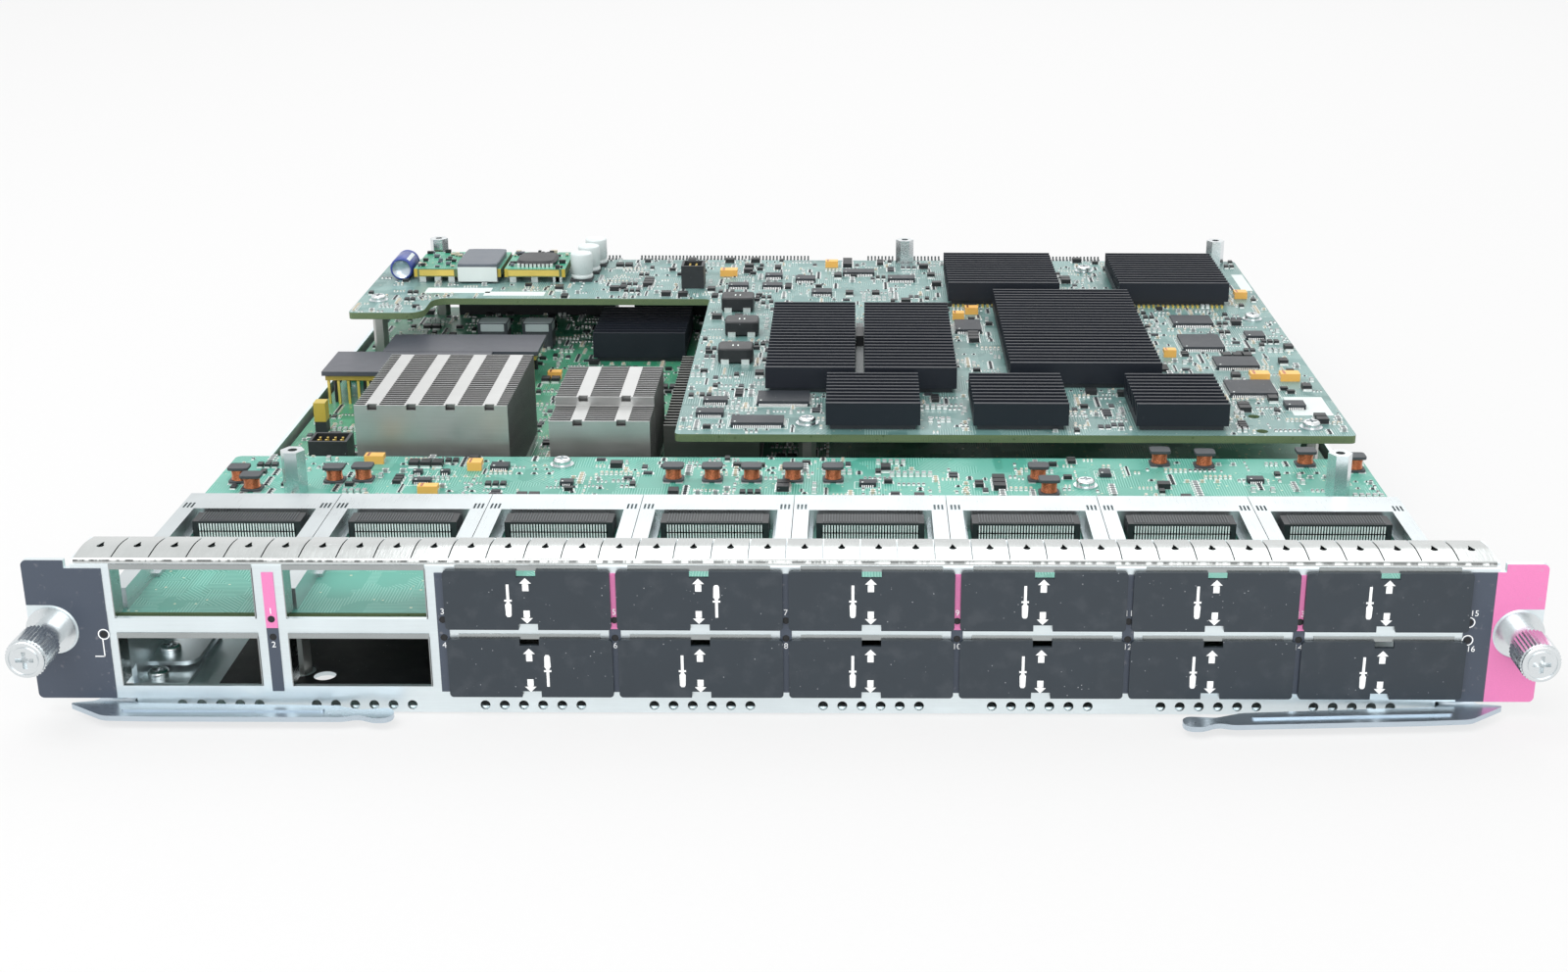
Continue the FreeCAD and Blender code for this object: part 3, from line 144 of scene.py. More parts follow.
class Value:
    """A number on its way through a material's nodes, which takes Python's arithmetic."""

    def __init__(self, nodes: "Nodes", socket: bpy.types.NodeSocket) -> None:
        """Keeps the socket and the nodes it belongs to."""
        self.nodes = nodes
        self.socket = socket

    def _join(self, operation: str, first: object, second: object = None) -> "Value":
        """One Math node for an operation on one or two numbers."""
        return self.nodes.math(operation, first, second)

    def __add__(self, other: object) -> "Value":
        """The sum."""
        return self._join("ADD", self, other)

    def __sub__(self, other: object) -> "Value":
        """The difference."""
        return self._join("SUBTRACT", self, other)

    def __rsub__(self, other: object) -> "Value":
        """The difference from a plain number."""
        return self._join("SUBTRACT", other, self)

    def __mul__(self, other: object) -> "Value":
        """The product."""
        return self._join("MULTIPLY", self, other)

    def __truediv__(self, other: object) -> "Value":
        """The quotient."""
        return self._join("DIVIDE", self, other)

    def __gt__(self, other: object) -> "Value":
        """1 where it is greater."""
        return self._join("GREATER_THAN", self, other)

    def __lt__(self, other: object) -> "Value":
        """1 where it is less."""
        return self._join("LESS_THAN", self, other)

    def __abs__(self) -> "Value":
        """The size without its sign."""
        return self._join("ABSOLUTE", self)

    __radd__ = __add__
    __rmul__ = __mul__

    def fract(self) -> "Value":
        """The part after the point."""
        return self._join("FRACT", self)

    def highest(self, other: object) -> "Value":
        """The greater of two."""
        return self._join("MAXIMUM", self, other)


class Nodes:
    """One material and the nodes that make it."""

    def __init__(self, name: str) -> None:
        """Starts an empty material.

        Args:
            name: the material's name.
        """
        self.material = bpy.data.materials.new(name)
        self.material.use_nodes = True
        self.tree = self.material.node_tree
        self.tree.nodes.clear()
        self.coordinates = self.make("ShaderNodeTexCoord")

    def make(self, kind: str, settings: dict | None = None, inputs: dict | None = None) -> bpy.types.Node:
        """Adds a node, its settings first and then the values or links of its sockets.

        Args:
            kind: the node's type.
            settings: attributes of the node, by name.
            inputs: values, sockets or Value objects, by socket name or index.

        Returns:
            The new node.
        """
        node = self.tree.nodes.new(kind)
        for name, setting in (settings or {}).items():
            setattr(node, name, setting)
        for key, given in (inputs or {}).items():
            socket = node.inputs[key]
            if isinstance(given, Value):
                given = given.socket
            if isinstance(given, bpy.types.NodeSocket):
                self.tree.links.new(given, socket)
            else:
                socket.default_value = given
        return node

    def math(self, operation: str, first: object, second: object = None) -> Value:
        """One Math node on one or two numbers."""
        inputs = {0: first} if second is None else {0: first, 1: second}
        node = self.make("ShaderNodeMath", {"operation": operation}, inputs)
        return Value(self, node.outputs[0])

    def place(self) -> tuple[Value, Value, Value]:
        """The Object coordinates in millimetres, as three numbers."""
        split = self.make("ShaderNodeSeparateXYZ", None, {0: self.coordinates.outputs["Object"]})
        return tuple(Value(self, split.outputs[axis]) * (1 / MM) for axis in range(3))

    def facing(self) -> tuple[Value, Value, Value]:
        """The surface's own normal, as three numbers."""
        split = self.make("ShaderNodeSeparateXYZ", None, {0: self.coordinates.outputs["Normal"]})
        return tuple(Value(self, split.outputs[axis]) for axis in range(3))

    def scaled(self, stretch: tuple[float, float, float]) -> bpy.types.NodeSocket:
        """Object coordinates multiplied per axis; 1000 makes one unit a millimetre."""
        inputs = {0: self.coordinates.outputs["Object"], 1: stretch}
        return self.make("ShaderNodeVectorMath", {"operation": "MULTIPLY"}, inputs).outputs[0]

    def noise(self, size: float, detail: float = 3.0,
              stretch: tuple[float, float, float] = (1, 1, 1)) -> Value:
        """Soft noise.

        Args:
            size: the length of one feature in millimetres.
            detail: octaves of finer noise.
            stretch: how many times finer the pattern is along each axis.

        Returns:
            A number about 0.5.
        """
        vector = self.scaled(tuple(axis / (size * MM) for axis in stretch))
        node = self.make("ShaderNodeTexNoise", None, {"Vector": vector, "Scale": 1.0, "Detail": detail})
        return Value(self, node.outputs["Fac"])

    def cells(self, size: float, metric: str = "EUCLIDEAN", jitter: float = 1.0) -> tuple[Value, Value]:
        """Scattered cells.

        Args:
            size: the mean spacing of the cells in millimetres.
            metric: how distance is measured.
            jitter: 0 for a square grid, 1 for free scatter.

        Returns:
            The distance from each cell's middle in cell sizes, and one random number per cell.
        """
        vector = self.scaled((1 / (size * MM),) * 3)
        inputs = {"Vector": vector, "Scale": 1.0, "Randomness": jitter}
        node = self.make("ShaderNodeTexVoronoi", {"distance": metric, "feature": "F1"}, inputs)
        split = self.make("ShaderNodeSeparateColor", None, {0: node.outputs["Color"]})
        return Value(self, node.outputs["Distance"]), Value(self, split.outputs[0])

    def ramp(self, value: object, low: float, high: float) -> Value:
        """Goes smoothly from 0 at low to 1 at high."""
        inputs = {"Value": value, "From Min": low, "From Max": high}
        node = self.make("ShaderNodeMapRange", {"interpolation_type": "SMOOTHSTEP"}, inputs)
        return Value(self, node.outputs[0])

    def blend(self, mask: object, first: object, second: object) -> bpy.types.NodeSocket:
        """Mixes two colours by a mask."""
        node = self.make("ShaderNodeMix", {"data_type": "RGBA"}, {0: mask, 6: first, 7: second})
        return node.outputs[2]

    def shade(self, colour: object, light: object) -> bpy.types.NodeSocket:
        """Multiplies a colour by a number."""
        node = self.make("ShaderNodeVectorMath", {"operation": "SCALE"}, {0: colour, "Scale": light})
        return node.outputs[0]

    def bump(self, height: object, reach: float, strength: float = 1.0) -> bpy.types.NodeSocket:
        """A normal tilted by a height from 0 to 1, over a reach in millimetres."""
        inputs = {"Height": height, "Distance": reach * MM, "Strength": strength}
        return self.make("ShaderNodeBump", None, inputs).outputs[0]

    def surface(self, **sockets: object) -> bpy.types.Material:
        """Closes the material with a Principled shader.

        Args:
            sockets: the shader's inputs, with underscores for spaces.

        Returns:
            The finished material.
        """
        inputs = {name.replace("_", " "): given for name, given in sockets.items()}
        shader = self.make("ShaderNodeBsdfPrincipled", None, inputs)
        self.make("ShaderNodeOutputMaterial", None, {0: shader.outputs[0]})
        return self.material


# ---- Finishes ----

@dataclass(frozen=True)
class Finish:
    """A named surface finish, made once and then shared."""

    name: str

    def make(self) -> bpy.types.Material:
        """The material, made on first use."""
        name = f"{self.name}_finish"
        found = bpy.data.materials.get(name)
        return found if found else self.build(Nodes(name))

    def tone(self, nodes: Nodes) -> object:
        """How bright each place is painted, for painted shade; 1 leaves it as it is."""
        return 1.0

    def build(self, nodes: Nodes) -> bpy.types.Material:
        """Builds the material's nodes."""
        raise NotImplementedError


@dataclass(frozen=True)
class SheetMetal(Finish):
    """Plated or bare metal with a rolling grain, cloudy tone and fine scratches."""

    colour: str = "c9ccce"
    metallic: float = 1.0
    roughness: float = 0.3
    grain: tuple[float, float, float] = (0.04, 1.0, 1.0)
    grain_depth: float = 0.012
    cloud: float = 0.08

    def build(self, nodes: Nodes) -> bpy.types.Material:
        """Streaks stretched along the grain, broad clouds, and thin scratches over both."""
        streaks = nodes.noise(0.5, 2.0, self.grain)
        clouds = nodes.noise(14.0, 4.0)
        scratches = nodes.ramp(nodes.noise(3.0, 6.0, (0.12, 1.0, 0.7)), 0.66, 0.69)
        # self.tone paints shade where a subclass has some, such as the strip's crease.
        light = (1.0 - self.cloud + clouds * (2 * self.cloud) + (streaks - 0.5) * 0.08) * self.tone(nodes)
        colour = nodes.shade(linear(self.colour)[:3], light)
        rough = self.roughness + (streaks - 0.5) * 0.14 + (clouds - 0.5) * 0.12 + scratches * 0.12
        normal = nodes.bump(streaks + scratches * -0.3, self.grain_depth)
        return nodes.surface(Base_Color=colour, Metallic=self.metallic, Roughness=rough, Normal=normal)


@dataclass(frozen=True)
class Creased(SheetMetal):
    """Sprung strip metal with a dark line of painted shade, in patches along X, in the crease above its front
    lip.
    """

    crease: float = 42.55
    half_width: float = 0.3

    def tone(self, nodes: Nodes) -> object:
        """Paints shade as a narrow level band on the front, in patches along X."""
        _, y, z = nodes.place()
        patchy_shade = nodes.ramp(nodes.noise(2.4, 3.0, (1.0, 0.01, 0.01)), 0.4, 0.56)
        # Painted shade where the strip folds at the crease, on its front face only.
        band = (abs(z - self.crease) < self.half_width) * (y < 1.0)
        return 1.0 - band * patchy_shade * 0.75


@dataclass(frozen=True)
class Moulded(Finish):
    """Moulded plastic, resin or ceramic with a fine pebble, uneven sheen and settled dust."""

    colour: str = "1d1e20"
    roughness: float = 0.5
    pebble: float = 0.25
    depth: float = 0.02
    dust: float = 0.0
    speck_pitch: float = 0.9
    speck_share: float = 0.16
    dust_colour: str = "c9ccd2"

    def build(self, nodes: Nodes) -> bpy.types.Material:
        """A small pebble pattern with sparse pale specks of dust that lie in cloudy patches."""
        pebble = nodes.noise(self.pebble, 3.0)
        clouds = nodes.noise(9.0, 4.0)
        tone = 0.86 + clouds * 0.2 + pebble * 0.08
        colour = nodes.shade(linear(self.colour)[:3], tone)
        rough = self.roughness + (clouds - 0.5) * 0.2 + (pebble - 0.5) * 0.1
        if self.dust:
            distance, chance = nodes.cells(self.speck_pitch)
            specks = (distance < self.speck_share) * (chance < self.dust) * nodes.ramp(clouds, 0.42, 0.6)
            haze = nodes.ramp(nodes.noise(5.0, 6.0), 0.5, 0.75) * (self.dust * 0.25)
            colour = nodes.blend((specks * 0.55).highest(haze), colour, linear(self.dust_colour))
            rough = rough + specks * 0.3
        normal = nodes.bump(pebble, self.depth)
        return nodes.surface(Base_Color=colour, Roughness=rough, Normal=normal)


@dataclass(frozen=True)
class Milled(Finish):
    """Heat sink metal: fine cutter lines along one axis over a dull, slightly blotched coat."""

    colour: str = "1b1c1e"
    metallic: float = 0.6
    roughness: float = 0.42
    along: tuple[float, float, float] = (0.02, 1.0, 1.0)
    wear: float = 0.1
    bare: str = "a4a9ad"

    def build(self, nodes: Nodes) -> bpy.types.Material:
        """Cutter lines drawn as noise stretched along the cut, worn paler in small patches."""
        lines = nodes.noise(0.35, 2.0, self.along)
        blotch = nodes.noise(6.0, 5.0)
        wear = nodes.ramp(nodes.noise(1.6, 6.0), 0.66, 0.78)
        base = nodes.shade(linear(self.colour)[:3], 0.84 + lines * 0.18 + blotch * 0.12)
        # self.tone paints shade where a subclass has some, such as the fin faces.
        colour = nodes.shade(nodes.blend(wear * self.wear, base, linear(self.bare)), self.tone(nodes))
        rough = self.roughness + (lines - 0.5) * 0.12 + (blotch - 0.5) * 0.12
        normal = nodes.bump(lines, 0.006)
        return nodes.surface(Base_Color=colour, Metallic=self.metallic, Roughness=rough, Normal=normal)


@dataclass(frozen=True)
class Finned(Milled):
    """Stacked thin fins with painted shade: the faces that look into the gaps are painted darker, the outer
    ones left bright.
    """

    fronts: tuple[float, ...] = ()

    def tone(self, nodes: Nodes) -> object:
        """Paints shade on the faces that look along Y into the gaps, except the outer fronts."""
        _, y, _ = nodes.place()
        _, across, _ = nodes.facing()
        inner = abs(across) > 0.5
        for front in self.fronts:
            inner = inner * (abs(y - front) > 0.3)
        # Painted shade: the fin faces in the gaps at half brightness.
        return 1.0 - inner * 0.5


@dataclass(frozen=True)
class Laminate(Finish):
    """Board under solder mask: traces, vias and copper areas on its faces, layers on its edge."""

    mask: str = "2f7f72"
    trace: str = "4c9c8c"
    area: str = "2a7166"
    via: str = "c9b46a"
    via_share: float = 0.45
    trace_share: float = 0.5
    patch: float = 9.0
    pour: float = 23.0
    via_pitch: float = 2.6
    via_radius: float = 0.42
    hole_radius: float = 0.17
    layer: float = 0.36
    glass: str = "80905f"
    core: str = "2f5040"
    bore: str = "0c1512"

    def trace_lines(self, nodes: Nodes, along: Value, pitch: float, width: float) -> Value:
        """Parallel lines of one pitch and width, from the distance across them."""
        across = abs((along / pitch).fract() - 0.5)
        edge, soft = 0.5 - width / pitch / 2, 0.05
        return nodes.ramp(across, edge - soft, edge + soft)

    def build(self, nodes: Nodes) -> bpy.types.Material:
        """Three directions of trace bundles kept to random cells, copper areas, and ringed vias."""
        x, y, z = nodes.place()
        _, chance = nodes.cells(self.patch, "CHEBYCHEV")
        diagonal = (x + y) * 0.7071
        share = self.trace_share
        level = self.trace_lines(nodes, y, 0.9, 0.32) * (chance < share * 0.4)
        upright = self.trace_lines(nodes, x, 0.8, 0.3) * (chance > 1 - share * 0.4)
        slanted = self.trace_lines(nodes, diagonal, 1.0, 0.32) * (abs(chance - 0.5) < share * 0.12)
        traces = level.highest(upright).highest(slanted)
        _, block = nodes.cells(self.pour, "CHEBYCHEV", 0.8)
        poured = (block > 0.55) * 1.0
        distance, pick = nodes.cells(self.via_pitch, "EUCLIDEAN", 0.75)
        near = distance * self.via_pitch
        ring = (near < self.via_radius) * (pick < self.via_share)
        hole = (near < self.hole_radius) * (pick < self.via_share)
        mottled = nodes.noise(30.0, 3.0)
        base = nodes.blend(poured * 0.7, linear(self.mask), linear(self.area))
        base = nodes.shade(base, 0.88 + mottled * 0.24)
        colour = nodes.blend(traces * 0.6, base, linear(self.trace))
        colour = nodes.blend(ring * 0.8, colour, linear(self.via))
        colour = nodes.blend(hole, colour, linear(self.bore))
        _, _, upward = nodes.facing()
        edge = abs(upward) < 0.5
        layers = (z / self.layer).fract() > 0.45
        edges = nodes.blend(layers, linear(self.glass), linear(self.core))
        colour = nodes.blend(edge, colour, edges)
        rough = 0.34 + edge * 0.3 + (mottled - 0.5) * 0.16 - ring * 0.06
        metallic = ring * 0.7 * (1 - hole)
        normal = nodes.bump(traces + ring * 1.4 - hole * 2.0, 0.035)
        return nodes.surface(Base_Color=colour, Roughness=rough, Metallic=metallic, Normal=normal)


@dataclass(frozen=True)
class PanelFilm(Finish):
    """Printed label film: dark ground with a violet block where the print has one."""

    ground: str = "434c5a"
    block: str = "e480b6"
    right_edge: float = 181.4
    inner_reach: float = 160.0
    block_share: float = 0.06

    def build(self, nodes: Nodes) -> bpy.types.Material:
        """The block covers the upper half of every other strip and the outer end of the right label."""
        x, _, z = nodes.place()
        along = (x + 3 * BAY_PITCH) / (2 * BAY_PITCH)
        near_seam = abs((along + 0.5).fract() - 0.5) < self.block_share
        inner = abs(x) < self.inner_reach
        upper = z > MID_BAR
        violet = (near_seam * inner * upper).highest(x > self.right_edge)
        wear = nodes.ramp(nodes.noise(2.0, 6.0), 0.62, 0.74)
        grain = nodes.noise(0.3, 2.0)
        colour = nodes.blend(violet, linear(self.ground), linear(self.block))
        colour = nodes.blend(wear * 0.2, colour, linear("b8b4b8"))
        colour = nodes.shade(colour, 0.9 + grain * 0.2)
        rough = 0.42 + (grain - 0.5) * 0.2 + wear * 0.2
        return nodes.surface(Base_Color=colour, Roughness=rough, Normal=nodes.bump(grain, 0.01))


@dataclass(frozen=True)
class Banded(Finish):
    """Stacked layers of one piece: each colour holds up to its height in millimetres."""

    bands: tuple[tuple[str, float], ...] = ()

    def build(self, nodes: Nodes) -> bpy.types.Material:
        """The bands from the lowest up, over a fine grain and cloudy sheen."""
        _, _, z = nodes.place()
        grain, clouds = nodes.noise(0.3, 2.0), nodes.noise(8.0, 4.0)
        colour = linear(self.bands[0][0])
        for (_, floor), (code, _) in zip(self.bands, self.bands[1:]):
            colour = nodes.blend(z > floor, colour, linear(code))
        colour = nodes.shade(colour, 0.88 + clouds * 0.16 + grain * 0.08)
        rough = 0.36 + (clouds - 0.5) * 0.2
        return nodes.surface(Base_Color=colour, Roughness=rough, Normal=nodes.bump(grain, 0.01))


@dataclass(frozen=True)
class Smoked(Finish):
    """Clear plastic that looks smoky where nothing lights it."""

    colour: str = "3b3d40"

    def build(self, nodes: Nodes) -> bpy.types.Material:
        """A dark gloss with slight cloudiness."""
        clouds = nodes.noise(0.6, 3.0)
        colour = nodes.shade(linear(self.colour)[:3], 0.7 + clouds * 0.6)
        return nodes.surface(Base_Color=colour, Roughness=0.4 + clouds * 0.1)


ALONG_X = (0.04, 1.0, 1.0)
ALONG_Y = (1.0, 0.05, 1.0)
CUTTER_LINES = (0.02, 1.0, 1.0)
ANY_WAY = (1.0, 1.0, 1.0)
ZINC = SheetMetal("zinc_sheet", "e4eef1", 0.9, 0.34, ALONG_X, 0.008)
FRAME = SheetMetal("frame_sheet", "cbd2d4", 0.95, 0.3, ALONG_Y, 0.008, 0.12)
# The finger strip carries a painted shade line in its crease.
STRIP = Creased("finger_strip", "cdd1d0", 1.0, 0.2, ALONG_Y, 0.02, 0.14)
COLLAR = SheetMetal("collar_strip", "a9aeae", 1.0, 0.24, ALONG_Y, 0.02, 0.14)
COMB = SheetMetal("comb_pin", "8d9496", 0.8, 0.4, ANY_WAY, 0.004)
NICKEL = SheetMetal("blued_nickel", "c3d0da", 0.95, 0.3, (0.08, 1.0, 1.0), 0.004, 0.05)
TURNED = SheetMetal("turned_steel", "dde2e4", 1.0, 0.24, (1.0, 0.3, 1.0), 0.008, 0.06)
ALUMINIUM = Milled("milled_aluminium", "b4b6b2", 0.95, 0.4, CUTTER_LINES, 0.1)
# The finned sinks carry painted shade on the fin faces that look into the gaps; the listed fronts stay
# bright.
FOLDED = Finned("folded_fins", "c2c3c2", 0.95, 0.4, CUTTER_LINES, 0.1, fronts=(136.5, 139.3, 155.5))
GREY_FINS = Finned("grey_fins", "7d7f7c", 0.9, 0.42, CUTTER_LINES, 0.1, fronts=(158.0,))
BLACK_SINK = Milled("black_anodised", "0e1622", 0.12, 0.5, CUTTER_LINES, 0.03)
COVER = Moulded("cover_plastic", "2b343c", 0.5, 0.3, 0.012, 0.1)
BLACK = Moulded("black_plastic", "1e2124", 0.46, 0.2, 0.02, 0.04)
PACKAGE = Moulded("package_resin", "2b3036", 0.5, 0.15, 0.015, 0.06)
CONNECTOR = Moulded("connector_plastic", "25292c", 0.5, 0.25, 0.02, 0.05)
FILM = Moulded("insulating_film", "14161a", 0.4, 1.2, 0.01, 0.08)
FERRITE = Moulded("ferrite_core", "3a3f43", 0.5, 0.3, 0.03, 0.0)
SLATE = Moulded("module_core", "5b626b", 0.42, 0.3, 0.01, 0.05)
RESIN = Moulded("amber_resin", "e8b25a", 0.4, 0.2, 0.01)
CERAMIC = Moulded("pale_ceramic", "bfb6a2", 0.5, 0.15, 0.01)
GREY_CERAMIC = Moulded("grey_ceramic", "8a8f90", 0.5, 0.15, 0.01)
PAPER = Moulded("white_paper", "d3dcda", 0.6, 0.3, 0.01)
INK = Moulded("white_ink", "fafcfc", 0.5, 0.3, 0.01)
SILK = Moulded("legend_ink", "e6f0ec", 0.6, 0.3, 0.01)
RELAY = Moulded("relay_case", "9fabad", 0.45, 0.4, 0.01)
BLUE_SLEEVE = Moulded("blue_sleeve", "35478f", 0.3, 0.5, 0.005)
WHITE_CAN = Moulded("white_can", "cdd6d6", 0.3, 0.5, 0.005)
RUBBER = Moulded("rubber_base", "303336", 0.6, 0.3, 0.02)
TIN = SheetMetal("tinned_lead", "eef0ef", 0.8, 0.36, ANY_WAY, 0.008, 0.1)
CONTACT = SheetMetal("bright_contact", "f6f8f8", 0.15, 0.4, ANY_WAY, 0.004, 0.05)
GOLD = SheetMetal("gold_contact", "edd06f", 0.7, 0.34, ANY_WAY, 0.004, 0.06)
COPPER = SheetMetal("copper_wire", "bd7a58", 0.9, 0.24, (1.0, 1.0, 0.2), 0.015, 0.1)
LABELS = PanelFilm("panel_film")
LIGHTS = Smoked("light_pipe", "121417")
PORT_LAMINATE = Laminate("port_laminate", "4a9d8c", "97d0c3", "3b8b7a", "e2e2c6", 0.6, 0.75)
MAIN_LAMINATE = Laminate("main_laminate", "2f8563", "6fb596", "27745a", "c4bf8c", 0.5, 0.7)
UPPER_LAMINATE = Laminate("upper_laminate", "638986", "a9c7c3", "527673", "d4d8cc", 0.65, 0.75)
MODULE_LAMINATE = Laminate("module_laminate", "3d9a7c", "7cc0a6", "2f8268", "d8cf9a", 0.6, 0.5)
GREY_RIB = Moulded("socket_rib", "4a5053", 0.45, 0.2, 0.01)
YELLOW_EDGE = Moulded("plated_edge", "b8a23f", 0.4, 0.3, 0.01)
BRICK = Banded("brick_bands", (("25282d", 17.4), ("a8923c", 19.3), ("43464f", 30.0)))

NODE_FINISHES: dict[str, Finish] = {
    "faceplate": ZINC, "base_tray": ZINC, "board_brackets": ZINC,
    "edge_gasket": STRIP, "bay_gaskets": COLLAR, "light_pipes": LIGHTS, "insulator_sheet": FILM,
    "left_label": LABELS, "right_label": LABELS, "column_labels": LABELS,
    "port_board": PORT_LAMINATE, "main_board": MAIN_LAMINATE, "upper_board": UPPER_LAMINATE,
    "upper_bay_frames": FRAME, "lower_bay_frames": FRAME,
    "upper_port_sockets": BLACK, "lower_port_sockets": BLACK,
    "large_heat_sink": FOLDED, "small_heat_sink": FOLDED, "fin_heat_sink": GREY_FINS,
    "power_modules": SLATE, "power_bricks": BRICK,
    "pin_headers": CONNECTOR, "backplane_connectors": CONNECTOR,
    "tantalum_capacitors": RESIN, "ic_packages": PACKAGE,
    "hex_standoffs": TURNED, "board_spacers": ALUMINIUM, "board_screws": TURNED,
    "ejector_rivets": TURNED, "screw_ferrules": TURNED,
    "left_ejector": NICKEL, "right_ejector": NICKEL,
    "left_screw_ring": TURNED, "right_screw_ring": TURNED,
    "left_captive_screw": TURNED, "right_captive_screw": TURNED,
}


# ---- Surfaces as arrays ----

SQUARE = np.array([[-1, -1], [1, -1], [1, 1], [-1, 1]]) / 2
CUBE = np.concatenate([np.insert(SQUARE, 2, level, axis=1) for level in (-0.5, 0.5)])
CUBE_FACES = np.array([[0, 3, 2, 1], [4, 5, 6, 7], [0, 1, 5, 4], [1, 2, 6, 5], [2, 3, 7, 6], [3, 0, 4, 7]])


class Shell:
    """Gathers surfaces worked out as arrays, in millimetres, and makes one object of them."""

    def __init__(self, name: str, *finishes: Finish) -> None:
        """Starts an empty shell.

        Args:
            name: the piece's name.
            finishes: its finishes, which the slot numbers below refer to.
        """
        self.name = name
        self.finishes = finishes
        self.points: list[np.ndarray] = []
        self.faces: list[np.ndarray] = []
        self.slots: list[np.ndarray] = []
        self.smooth: list[np.ndarray] = []
        self.count = 0

    def add(self, points: np.ndarray, faces: np.ndarray, slot: int | np.ndarray,
            smooth: bool = False) -> None:
        """Takes points and quads that index them; a quad that repeats a corner is a triangle."""
        points = points.reshape(-1, 3)
        self.points.append(points)
        self.faces.append(faces + self.count)
        self.slots.append(np.broadcast_to(slot, len(faces)).copy())
        self.smooth.append(np.full(len(faces), smooth))
        self.count += len(points)

    def boxes(self, centres: np.ndarray, sizes: np.ndarray, slots: int | np.ndarray = 0) -> None:
        """Boxes along the axes: every corner is a centre plus a unit cube's corner times the size."""
        centres = np.asarray(centres, float).reshape(-1, 3)
        sizes = np.broadcast_to(np.asarray(sizes, float).reshape(-1, 3), centres.shape)
        points = centres[:, None, :] + CUBE[None] * sizes[:, None, :]
        faces = CUBE_FACES[None] + 8 * np.arange(len(centres))[:, None, None]
        given = np.broadcast_to(slots, len(centres))
        self.add(points, faces.reshape(-1, 4), np.repeat(given, len(CUBE_FACES)))

    def grid(self, points: np.ndarray, slot: int = 0, round_u: bool = False, round_v: bool = False,
             smooth: bool = True) -> None:
        """A surface on a grid of points, joined to itself along u or v where asked."""
        rows, columns = points.shape[:2]
        u = np.arange(rows if round_u else rows - 1)
        v = np.arange(columns if round_v else columns - 1)
        u, v = np.meshgrid(u, v, indexing="ij")
        here, below = u * columns, (u + 1) % rows * columns
        after = (v + 1) % columns
        corners = (here + v, below + v, below + after, here + after)
        self.add(points, np.stack(corners, axis=-1).reshape(-1, 4), slot, smooth)

    def turned(self, centre: tuple[float, float, float], profile: np.ndarray, slot: int | np.ndarray = 0,
               axis: int = 2, steps: int = 32, smooth: bool = True) -> None:
        """A profile of (radius, height) pairs carried round an axis; it starts and ends at radius 0.

        A point is the centre, plus radius times cosine and sine across the axis, plus height along it.
        """
        angle = np.linspace(0, 2 * math.pi, steps, endpoint=False)
        radius, height = profile[:, 0], profile[:, 1]
        along = np.broadcast_to(height[:, None], (len(profile), steps))
        first, second = radius[:, None] * np.cos(angle), radius[:, None] * np.sin(angle)
        order = {0: (along, first, second), 1: (second, along, first), 2: (first, second, along)}[axis]
        points = np.stack(order, axis=-1) + np.asarray(centre)
        slots = np.repeat(np.broadcast_to(slot, len(profile) - 1), steps)
        self.add(points, ring_quads(len(profile), steps), slots, smooth)

    def rounded(self, low: object, high: object, slot: int = 0, rim: float = 0.3, power: float = 8.0,
                steps: int = 32) -> None:
        """A block with rounded corners and rims.

        A point is the middle plus the half sizes times cosine and sine, times
        (|cosine|^power + |sine|^power)^(-1/power), drawn in by the rim at the bottom and the top.
        """
        low, high = np.asarray(low, float), np.asarray(high, float)
        middle, half = (low + high) / 2, (high - low) / 2
        angle = np.linspace(0, 2 * math.pi, steps, endpoint=False)
        cosine, sine = np.cos(angle), np.sin(angle)
        reach = (np.abs(cosine) ** power + np.abs(sine) ** power) ** (-1 / power)
        wide = half[:2]
        rows = [(wide * 0, low[2]), (wide - rim, low[2]), (wide, low[2] + rim),
                (wide, high[2] - rim), (wide - rim, high[2]), (wide * 0, high[2])]
        points = np.stack([lined(middle[0] + size[0] * reach * cosine, middle[1] + size[1] * reach * sine, z)
                           for size, z in rows])
        self.grid(points[:, ::-1], slot, False, True, False)

    def prism(self, outline: np.ndarray, front: float, back: float, slot: int = 0) -> None:
        """An outline in X and Z, listed anticlockwise from the front, carried from front to back in Y."""
        size = len(outline)
        flat = lined(outline[:, 0], front, outline[:, 1])
        deep = flat + np.array([0, back - front, 0])
        middle = np.array([flat.mean(axis=0), deep.mean(axis=0)])
        index = np.arange(size)
        after = (index + 1) % size
        near, far = np.full(size, 2 * size), np.full(size, 2 * size + 1)
        sides = np.stack([index, index + size, after + size, after], axis=-1)
        fronts = np.stack([near, index, after, near], axis=-1)
        backs = np.stack([far, after + size, index + size, far], axis=-1)
        self.add(np.concatenate([flat, deep, middle]), np.concatenate([sides, fronts, backs]), slot)

